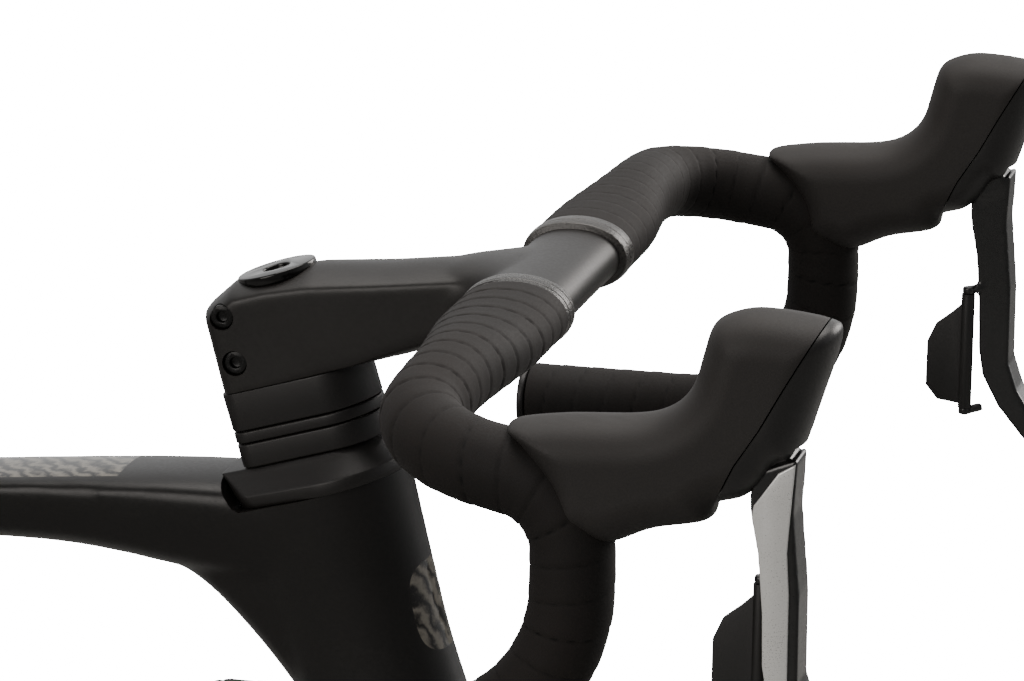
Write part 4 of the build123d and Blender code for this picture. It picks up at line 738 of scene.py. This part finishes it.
lever_black = surface("black painted lever", "#0f0f0f", "#191919", (0.26, 0.36), 1.0, 0.005, Coat_Weight=0.3)
polished = surface("polished aluminium", "#dcdcd9", "#efefec", (0.26, 0.36), 0.5, 0.003, Metallic=0.45)
grip = surface("moulded paddle nylon", "#141313", "#1d1c1b", (0.4, 0.52), 0.6, 0.03)
PLATE = [(252.2, 6.4), (250.9, -12), (250.2, -25), (251.2, -40), (251.4, -72), (255.8, -85.5), (265, -99.2),
         (274.2, -109.2), (262.6, -102.6), (251.6, -90.3), (244.6, -77.8), (242.6, -66), (242.1, -47),
         (240.3, -27), (237.6, -13), (238.2, -9.2), (241.4, -4.6), (246.4, 2.8)]
LEVER = [(252.8, 8), (251.8, -12), (253, -25), (254.5, -40), (254.8, -72), (259, -84), (268, -98),
         (279, -110), (275, -114), (262, -104), (251, -91), (244, -78), (242, -66), (241.5, -47),
         (239.8, -27), (237, -13),
         (236.6, -6), (238, 2)]
HINGE = (237.5, 202.5)
for name, side in (("left", 1), ("right", -1)):
    parts = [prism(dense(LEVER, 4.0), HOOD_Y - 7.4, HOOD_Y + 9.8), cylinder(
        (PIVOT[0], HOOD_Y - 8, PIVOT[1]), (PIVOT[0], HOOD_Y + 8, PIVOT[1]), 7)]
    for z in (-41.5, -93.5):
        parts += [cylinder((*HINGE, z - 1.6), (*HINGE, z + 1.6), 2.7),
                  cylinder((*HINGE, z), (244, 207.5, z + 1), 1.9)]
    parts.append(cylinder((*HINGE, -95), (*HINGE, -40), 1.3, 24))
    parts = [(p + CAP, f) for p, f in parts]
    lever = moulded("lever_" + name + "_forging", parts if side > 0 else [flip(x) for x in parts], 0.8, 7)
    put(shade_smooth(lever, 50), lever_black, "lever_" + name, "brake_lever_" + name)
    softened("shift_paddle_" + name, grip, 0.9, 3)
    plate = prism(PLATE, HOOD_Y + 9.6, HOOD_Y + 10.9)
    plate = (plate[0] + CAP, plate[1])
    obj = outward(as_object("lever_plate_" + name, *(plate if side > 0 else flip(plate))))
    put(rounded(obj, 0.5, 3), polished, "lever_" + name)


# Fork: a carbon crown and two blades in one moulding with the steerer, lacquered like the frame. The arch
# between the blades clears the tyre, and a 12 mm axle joins the tips.
def coat(material, *names):
    """Gives plain nodes their finish as they are."""
    for name in names:
        for slot in nodes[name].material_slots:
            slot.material = material


fork_top = steer(-178)
blade = loft([((x, y, z), (0.912, 0, 0.41), ACROSS, a, b, b, 2.1) for x, y, z, a, b in (
    (fork_top[0] - 8, 34, fork_top[2] + 18, 23, 12), (fork_top[0], 39, fork_top[2], 22, 9),
    (402, 45.5, 545, 18, 7.5), (460, 53, 418, 13, 7), (493, 56, 345, 9.5, 5.8))])
tip = cylinder(FORE + ACROSS * 50.2, FORE + ACROSS * 61, 14)
crown = loft([(steer(s), FRONT, ACROSS, a, b, b, 2.2) for s, a, b in ((-155.0, 31, 30), (-170, 30, 38),
                                                                     (-192, 26.5, 50))])
arch = cylinder(FORE - ACROSS * 24, FORE + ACROSS * 24, 346, 160)
hub_room = cylinder(FORE - ACROSS * 50.1, FORE + ACROSS * 50.1, 22)
fork = moulded("fork_moulding", [crown, blade, flip(blade), tip, flip(tip)], 1.9, 10, (
    arch, hub_room, cylinder(FORE - ACROSS * 80, FORE + ACROSS * 80, 6.1),
    cylinder(steer(-155.9), steer(-140), 60)))
put(shade_smooth(fork, 40), lacquer, "steering", "fork_blades")
coat(lacquer, "steerer")


# Tyres: vulcanised rubber, slick down the middle with shallow slanting sipes on the shoulders, over a rim
# of black carbon. The pattern goes round each wheel, about 9 mm from one sipe to the next.
for name, hub in (("front", FORE), ("rear", REAR)):
    tread = surface(name + " tyre rubber", "#121212", "#1c1b1b", (0.55, 0.7), 0.6, 0.03,
                    Specular_IOR_Level=0.35)
    tree = tread.node_tree
    shader = tree.nodes["Principled BSDF"]
    centred = add(tree, "ShaderNodeMapping", {"Vector": add(tree, "ShaderNodeTexCoord").outputs["Object"],
                                              "Location": tuple(-hub / 1000)})
    part = add(tree, "ShaderNodeSeparateXYZ", {0: centred.outputs[0]})
    round_wheel = add(tree, "ShaderNodeMath", {0: part.outputs["Z"], 1: part.outputs["X"]},
                      operation="ARCTAN2")
    side = add(tree, "ShaderNodeMath", {0: part.outputs["Y"]}, operation="ABSOLUTE")
    step = add(tree, "ShaderNodeMath", {0: round_wheel.outputs[0], 1: 236 / math.tau}, operation="MULTIPLY")
    lean = add(tree, "ShaderNodeMath", {0: side.outputs[0], 1: 160.0, 2: step.outputs[0]},
               operation="MULTIPLY_ADD")
    saw = add(tree, "ShaderNodeMath", {0: lean.outputs[0]}, operation="FRACT")
    sipe = add(tree, "ShaderNodeMath", {0: saw.outputs[0], 1: 0.14}, operation="LESS_THAN")
    shoulder = add(tree, "ShaderNodeMath", {0: side.outputs[0], 1: 0.0068, 2: 0.0022}, operation="COMPARE")
    groove = add(tree, "ShaderNodeMath", {0: sipe.outputs[0], 1: shoulder.outputs[0]}, operation="MULTIPLY")
    depth = add(tree, "ShaderNodeMath", {0: 1.0, 1: groove.outputs[0]}, operation="SUBTRACT")
    first = shader.inputs["Normal"].links[0].from_socket
    cut = add(tree, "ShaderNodeBump", {"Height": depth.outputs[0], "Distance": 0.0012, "Normal": first})
    tree.links.new(cut.outputs[0], shader.inputs["Normal"])
    coat(tread, name + "_tyre")


# Rims: deep hollow sections moulded in carbon and satin lacquered, each with its valve.
rim_carbon = surface("satin carbon rim", "#0f0f0f", "#171717", (0.30, 0.42), 2.0, 0.006,
                     Specular_IOR_Level=0.4)
coat(rim_carbon, "front_rim", "rear_rim")


# Spokes: drawn stainless wire, blacked, each screwed into a plated brass nipple where it meets the rim.
# Twelve from each flange lie a twelfth of a turn apart, leaning forwards and backwards in turn.
wire = surface("blacked stainless wire", "#2a2a2a", "#3d3d3d", (0.22, 0.34), 1.0, 0.002, Metallic=0.9)
coat(wire, "front_spokes", "rear_spokes")
nipples, given = node_group("spoke nipples", Radius="Float", Length="Float")
barrel = add(nipples, "GeometryNodeMeshCone", {"Vertices": 12, "Radius Top": given.outputs["Radius"],
                                               "Radius Bottom": given.outputs["Radius"],
                                               "Depth": given.outputs["Length"]})
aim = add(nipples, "GeometryNodeInputNamedAttribute", {"Name": "aim"}, data_type="FLOAT_VECTOR")
turned = add(nipples, "FunctionNodeAlignRotationToVector", {"Vector": aim.outputs[0]}, axis="Z")
spread = add(nipples, "GeometryNodeInstanceOnPoints", {"Points": given.outputs["Geometry"],
                                                       "Instance": barrel.outputs["Mesh"],
                                                       "Rotation": turned.outputs[0]})
finished(nipples, given, spread.outputs[0])


def aimed(name, points, headings):
    """Bare points, each with the way its copy faces."""
    obj = as_object(name, points, [])
    obj.data.attributes.new("aim", "FLOAT_VECTOR", "POINT").data.foreach_set("vector", np.ravel(headings))
    return obj


NIPPLE_SEAT = 273
brass = surface("black plated brass nipple", "#191919", "#262626", (0.25, 0.4), 0.6, 0.003, Metallic=0.7)
for name, hub, flanges in (("front", FORE, ((23, 22.5, 1), (-35, 20.3, -1))),
                           ("rear", REAR, ((39, 23.5, 1), (-16, 26.3, -1)))):
    seats, aims = [], []
    for flange_y, radius, side in flanges:
        for i in range(12):
            angle = math.tau * (i + (0.25 if side < 0 else 0) + 0.25) / 12
            lean = math.radians(62) * (1 if i % 2 else -1)
            r = radius + 1.4
            inner = hub + np.array((r * math.cos(angle - lean), flange_y, r * math.sin(angle - lean)))
            outer = hub + np.array((NIPPLE_SEAT * math.cos(angle), side * 2.0, NIPPLE_SEAT * math.sin(angle)))
            along = (outer - inner) / np.linalg.norm(outer - inner)
            seats.append(outer - along * 8.0)
            aims.append(along)
    ring = aimed(name + "_nipples", seats, aims)
    run_nodes(ring, nipples, Radius=0.0019, Length=0.011, Finish=brass)
    put(shade_smooth(ring), brass, name + "_wheel")


# Hubs, axles and rotors: turned aluminium shells, black anodised, on 12 mm through axles, with stamped
# stainless discs held by a lockring.
for name in ("front_hub", "rear_hub", "front_thru_axle", "rear_thru_axle"):
    softened(name, anodised, 0.5, 2)
disc = surface("ground stainless disc", "#8f8f8d", "#a9a9a6", (0.20, 0.34), 1.4, 0.006, Metallic=1.0)
for name in ("front_rotor", "rear_rotor"):
    softened(name, disc, 0.2, 1)
for name in ("front_caliper", "rear_caliper"):
    softened(name, surface(name + " cast aluminium", "#111111", "#1b1b1b", (0.4, 0.5), 0.7, 0.03,
                           Metallic=0.3), 0.8, 3)


# Chain: 106 links of stamped steel, alternately wide and narrow, 12.7 mm from pin to pin. It lies where the
# rollers of the plain chain lie, in the teeth and along the straight runs.
LINK = 12.7
work = bmesh.new()
work.from_mesh(nodes["chain"].data)
bmesh.ops.remove_doubles(work, verts=work.verts, dist=2e-6)
rollers, visited = [], set()
for vertex in work.verts:
    if vertex.index in visited:
        continue
    island, waiting = [], [vertex]
    visited.add(vertex.index)
    while waiting:
        v = waiting.pop()
        island.append(v.co.copy())
        for edge in v.link_edges:
            other = edge.other_vert(v)
            if other.index not in visited:
                visited.add(other.index)
                waiting.append(other)
    low, high = np.min(island, axis=0), np.max(island, axis=0)
    if max(high - low) < 0.012:
        rollers.append((low + high) / 2 * 1000)
work.free()
loop = [rollers.pop(0)]
while rollers:
    gaps = [np.linalg.norm(r - loop[-1]) for r in rollers]
    loop.append(rollers.pop(int(np.argmin(gaps))))
loop = np.array(loop)
headings = np.roll(loop, -1, 0) - loop
headings /= np.linalg.norm(headings, axis=1)[:, None]


def link_plates(name, outer):
    """One link along x from its pin to the next: two waisted plates, and its pins or its rollers."""
    y0, y1 = (2.05, 2.85) if outer else (1.15, 1.95)
    ends = [(3.9 * math.cos(a), 3.9 * math.sin(a)) for a in np.linspace(-1.9, 1.9, 9)]
    outline = ([(LINK + x, z) for x, z in ends] + [(LINK / 2, 2.9)]
               + [(-x, z) for x, z in ends[::-1]] + [(LINK / 2, -2.9)])
    half, radius, count = (3.3, 1.8, 10) if outer else (1.15, 3.7, 12)
    return joined(name, [prism(outline, y0, y1), prism(outline, -y1, -y0)]
                  + [cylinder((x, -half, 0), (x, half, 0), radius, count) for x in (0, LINK)])


links, given = node_group("chain links", Wide="Object", Narrow="Object")
aim = add(links, "GeometryNodeInputNamedAttribute", {"Name": "aim"}, data_type="FLOAT_VECTOR")
swing = add(links, "FunctionNodeAlignRotationToVector", {"Vector": aim.outputs[0]}, axis="X", pivot_axis="Y")
place_in_row = add(links, "GeometryNodeInputIndex").outputs[0]
remainder = add(links, "ShaderNodeMath", {0: place_in_row, 1: 2.0}, operation="MODULO").outputs[0]
odd = add(links, "FunctionNodeCompare", {0: remainder, 1: 0.5}, data_type="FLOAT", operation="GREATER_THAN")
even = add(links, "FunctionNodeBooleanMath", {0: odd.outputs[0]}, operation="NOT")
halves = []
for name, chosen in (("Wide", odd), ("Narrow", even)):
    shape = add(links, "GeometryNodeObjectInfo", {"Object": given.outputs[name]})
    halves.append(add(links, "GeometryNodeInstanceOnPoints", {
        "Points": given.outputs["Geometry"], "Selection": chosen.outputs[0],
        "Instance": shape.outputs["Geometry"], "Rotation": swing.outputs[0]}).outputs[0])
whole = add(links, "GeometryNodeJoinGeometry", {0: halves[0]})
links.links.new(halves[1], whole.inputs[0])
finished(links, given, whole.outputs[0])
plated = surface("nickel plated chain steel", "#5a5955", "#7b7974", (0.25, 0.4), 1.0, 0.006, Metallic=1.0)
wide_link, narrow_link = link_plates("wide_link", True), link_plates("narrow_link", False)
chain = aimed("chain_links", loop, headings)
run_nodes(chain, links, Wide=wide_link, Narrow=narrow_link, Finish=plated)
for pattern in (wide_link, narrow_link):
    bpy.data.objects.remove(pattern)
put(shade_smooth(chain), plated, "crank_body", "chain")


# Drivetrain: machined steel cogs, aluminium rings and arms in black, resin pedals and pulleys, and cast
# derailleur bodies.
cog_steel = surface("machined cog steel", "#6a6966", "#85837f", (0.22, 0.36), 1.0, 0.004, Metallic=1.0)
ring_black = surface("hard anodised ring", "#141414", "#1f1f1f", (0.28, 0.38), 1.0, 0.004, Metallic=0.6)
arm_black = surface("painted forged crank", "#0f0f0f", "#181818", (0.24, 0.34), 1.2, 0.005, Coat_Weight=0.3)
resin = surface("fibre filled resin", "#151515", "#1f1f1f", (0.42, 0.54), 0.7, 0.03)
softened("cassette", cog_steel, 0.12, 1)
softened("chainrings", ring_black, 0.15, 1)
softened("crankset", arm_black, 2.2, 4)
softened("pedal_left", resin, 1.6, 3)
softened("pedal_right", resin, 1.6, 3)
softened("guide_pulley", resin, 0.2, 1)
softened("tension_pulley", resin, 0.2, 1)
cast = surface("cast derailleur aluminium", "#131313", "#1d1d1d", (0.3, 0.42), 0.8, 0.01, Metallic=0.4)
for name in ("rear_derailleur_mount", "rear_derailleur_outer_link", "rear_derailleur_inner_link",
             "rear_derailleur_knuckle", "rear_derailleur_cage", "front_derailleur_body",
             "front_derailleur_cage"):
    softened(name, cast, 0.5, 2)
softened("cartridge_bearings", surface("ground bearing steel", "#5f5f5d", "#7a7a78", (0.2, 0.3), 0.8, 0.003,
                                       Metallic=1.0), 0.3, 2)


# Seatpost, clamp and saddle rails: a carbon post of wing section in satin lacquer, a forged collar, and
# steel tube rails under a stiff nylon shell.
softened("seatpost", lacquer, 0.8, 3)
softened("seatpost_clamp", anodised, 0.9, 3)
softened("saddle_clamp", anodised, 1.4, 3)
softened("saddle_rails", steel, 0.2, 1)
softened("saddle_shell", resin, 1.2, 3)

# Saddle cover: microfibre leather over foam, stretched over the shell and glued under its edge, with a
# channel down the middle where the foam is thinner.
leather = surface("microfibre leather", "#141312", "#1e1c1b", (0.45, 0.58), 0.9, 0.08, Specular_IOR_Level=0.4)
SADDLE = ((-152.5, 9, 7), (-158, 15, 11), (-175, 21.5, 15), (-235, 27, 17.5), (-290, 45, 18.5),
          (-345, 69, 19.5), (-380, 71.5, 19), (-396, 60, 15.5), (-401.5, 50, 10))
seat_cover = moulded("saddle_cushion", [loft([((x, 0, 966.6), ACROSS, (0, 0, 1), w, h, 0.9, 2.5)
                                              for x, w, h in SADDLE], 64, 8)], 3.2, 6)
rest = np.array([v.co[:] for v in seat_cover.data.vertices])
cloth = seat_cover.modifiers.new("cloth", "CLOTH")
cloth.settings.use_pressure, cloth.settings.uniform_pressure_force = True, 1.5
cloth.settings.tension_stiffness = cloth.settings.compression_stiffness = 40.0
cloth.settings.effector_weights.gravity = 0.0
glued = seat_cover.vertex_groups.new(name="glued edge")
glued.add([i for i, p in enumerate(rest) if p[2] < 0.9695], 1.0, "REPLACE")
cloth.settings.vertex_group_mass = "glued edge"
for k in range(1, 15):
    scene.frame_set(k)
settle(seat_cover)
scene.frame_set(1)
moved = np.array([v.co[:] for v in seat_cover.data.vertices]) - rest
far = np.linalg.norm(moved, axis=1)
moved *= np.minimum(1, 0.0022 / np.maximum(far, 1e-9))[:, None]
seat_cover.data.vertices.foreach_set("co", (rest + moved).ravel())
points = np.array([v.co[:] for v in seat_cover.data.vertices])
along = np.clip((points[:, 0] + 0.385) / 0.06, 0, 1) * np.clip((-0.165 - points[:, 0]) / 0.05, 0, 1)
trough = np.exp(-(points[:, 1] / 0.0085) ** 2) * along * (points[:, 2] > 0.974)
points[:, 2] -= 0.0055 * trough
seat_cover.data.vertices.foreach_set("co", points.ravel())
seat_cover.data.update()
fine = seat_cover.modifiers.new("fine", "SUBSURF")
fine.levels = fine.render_levels = 1
settle(seat_cover)
put(shade_smooth(seat_cover, 80), leather, "frame", "saddle_cover")
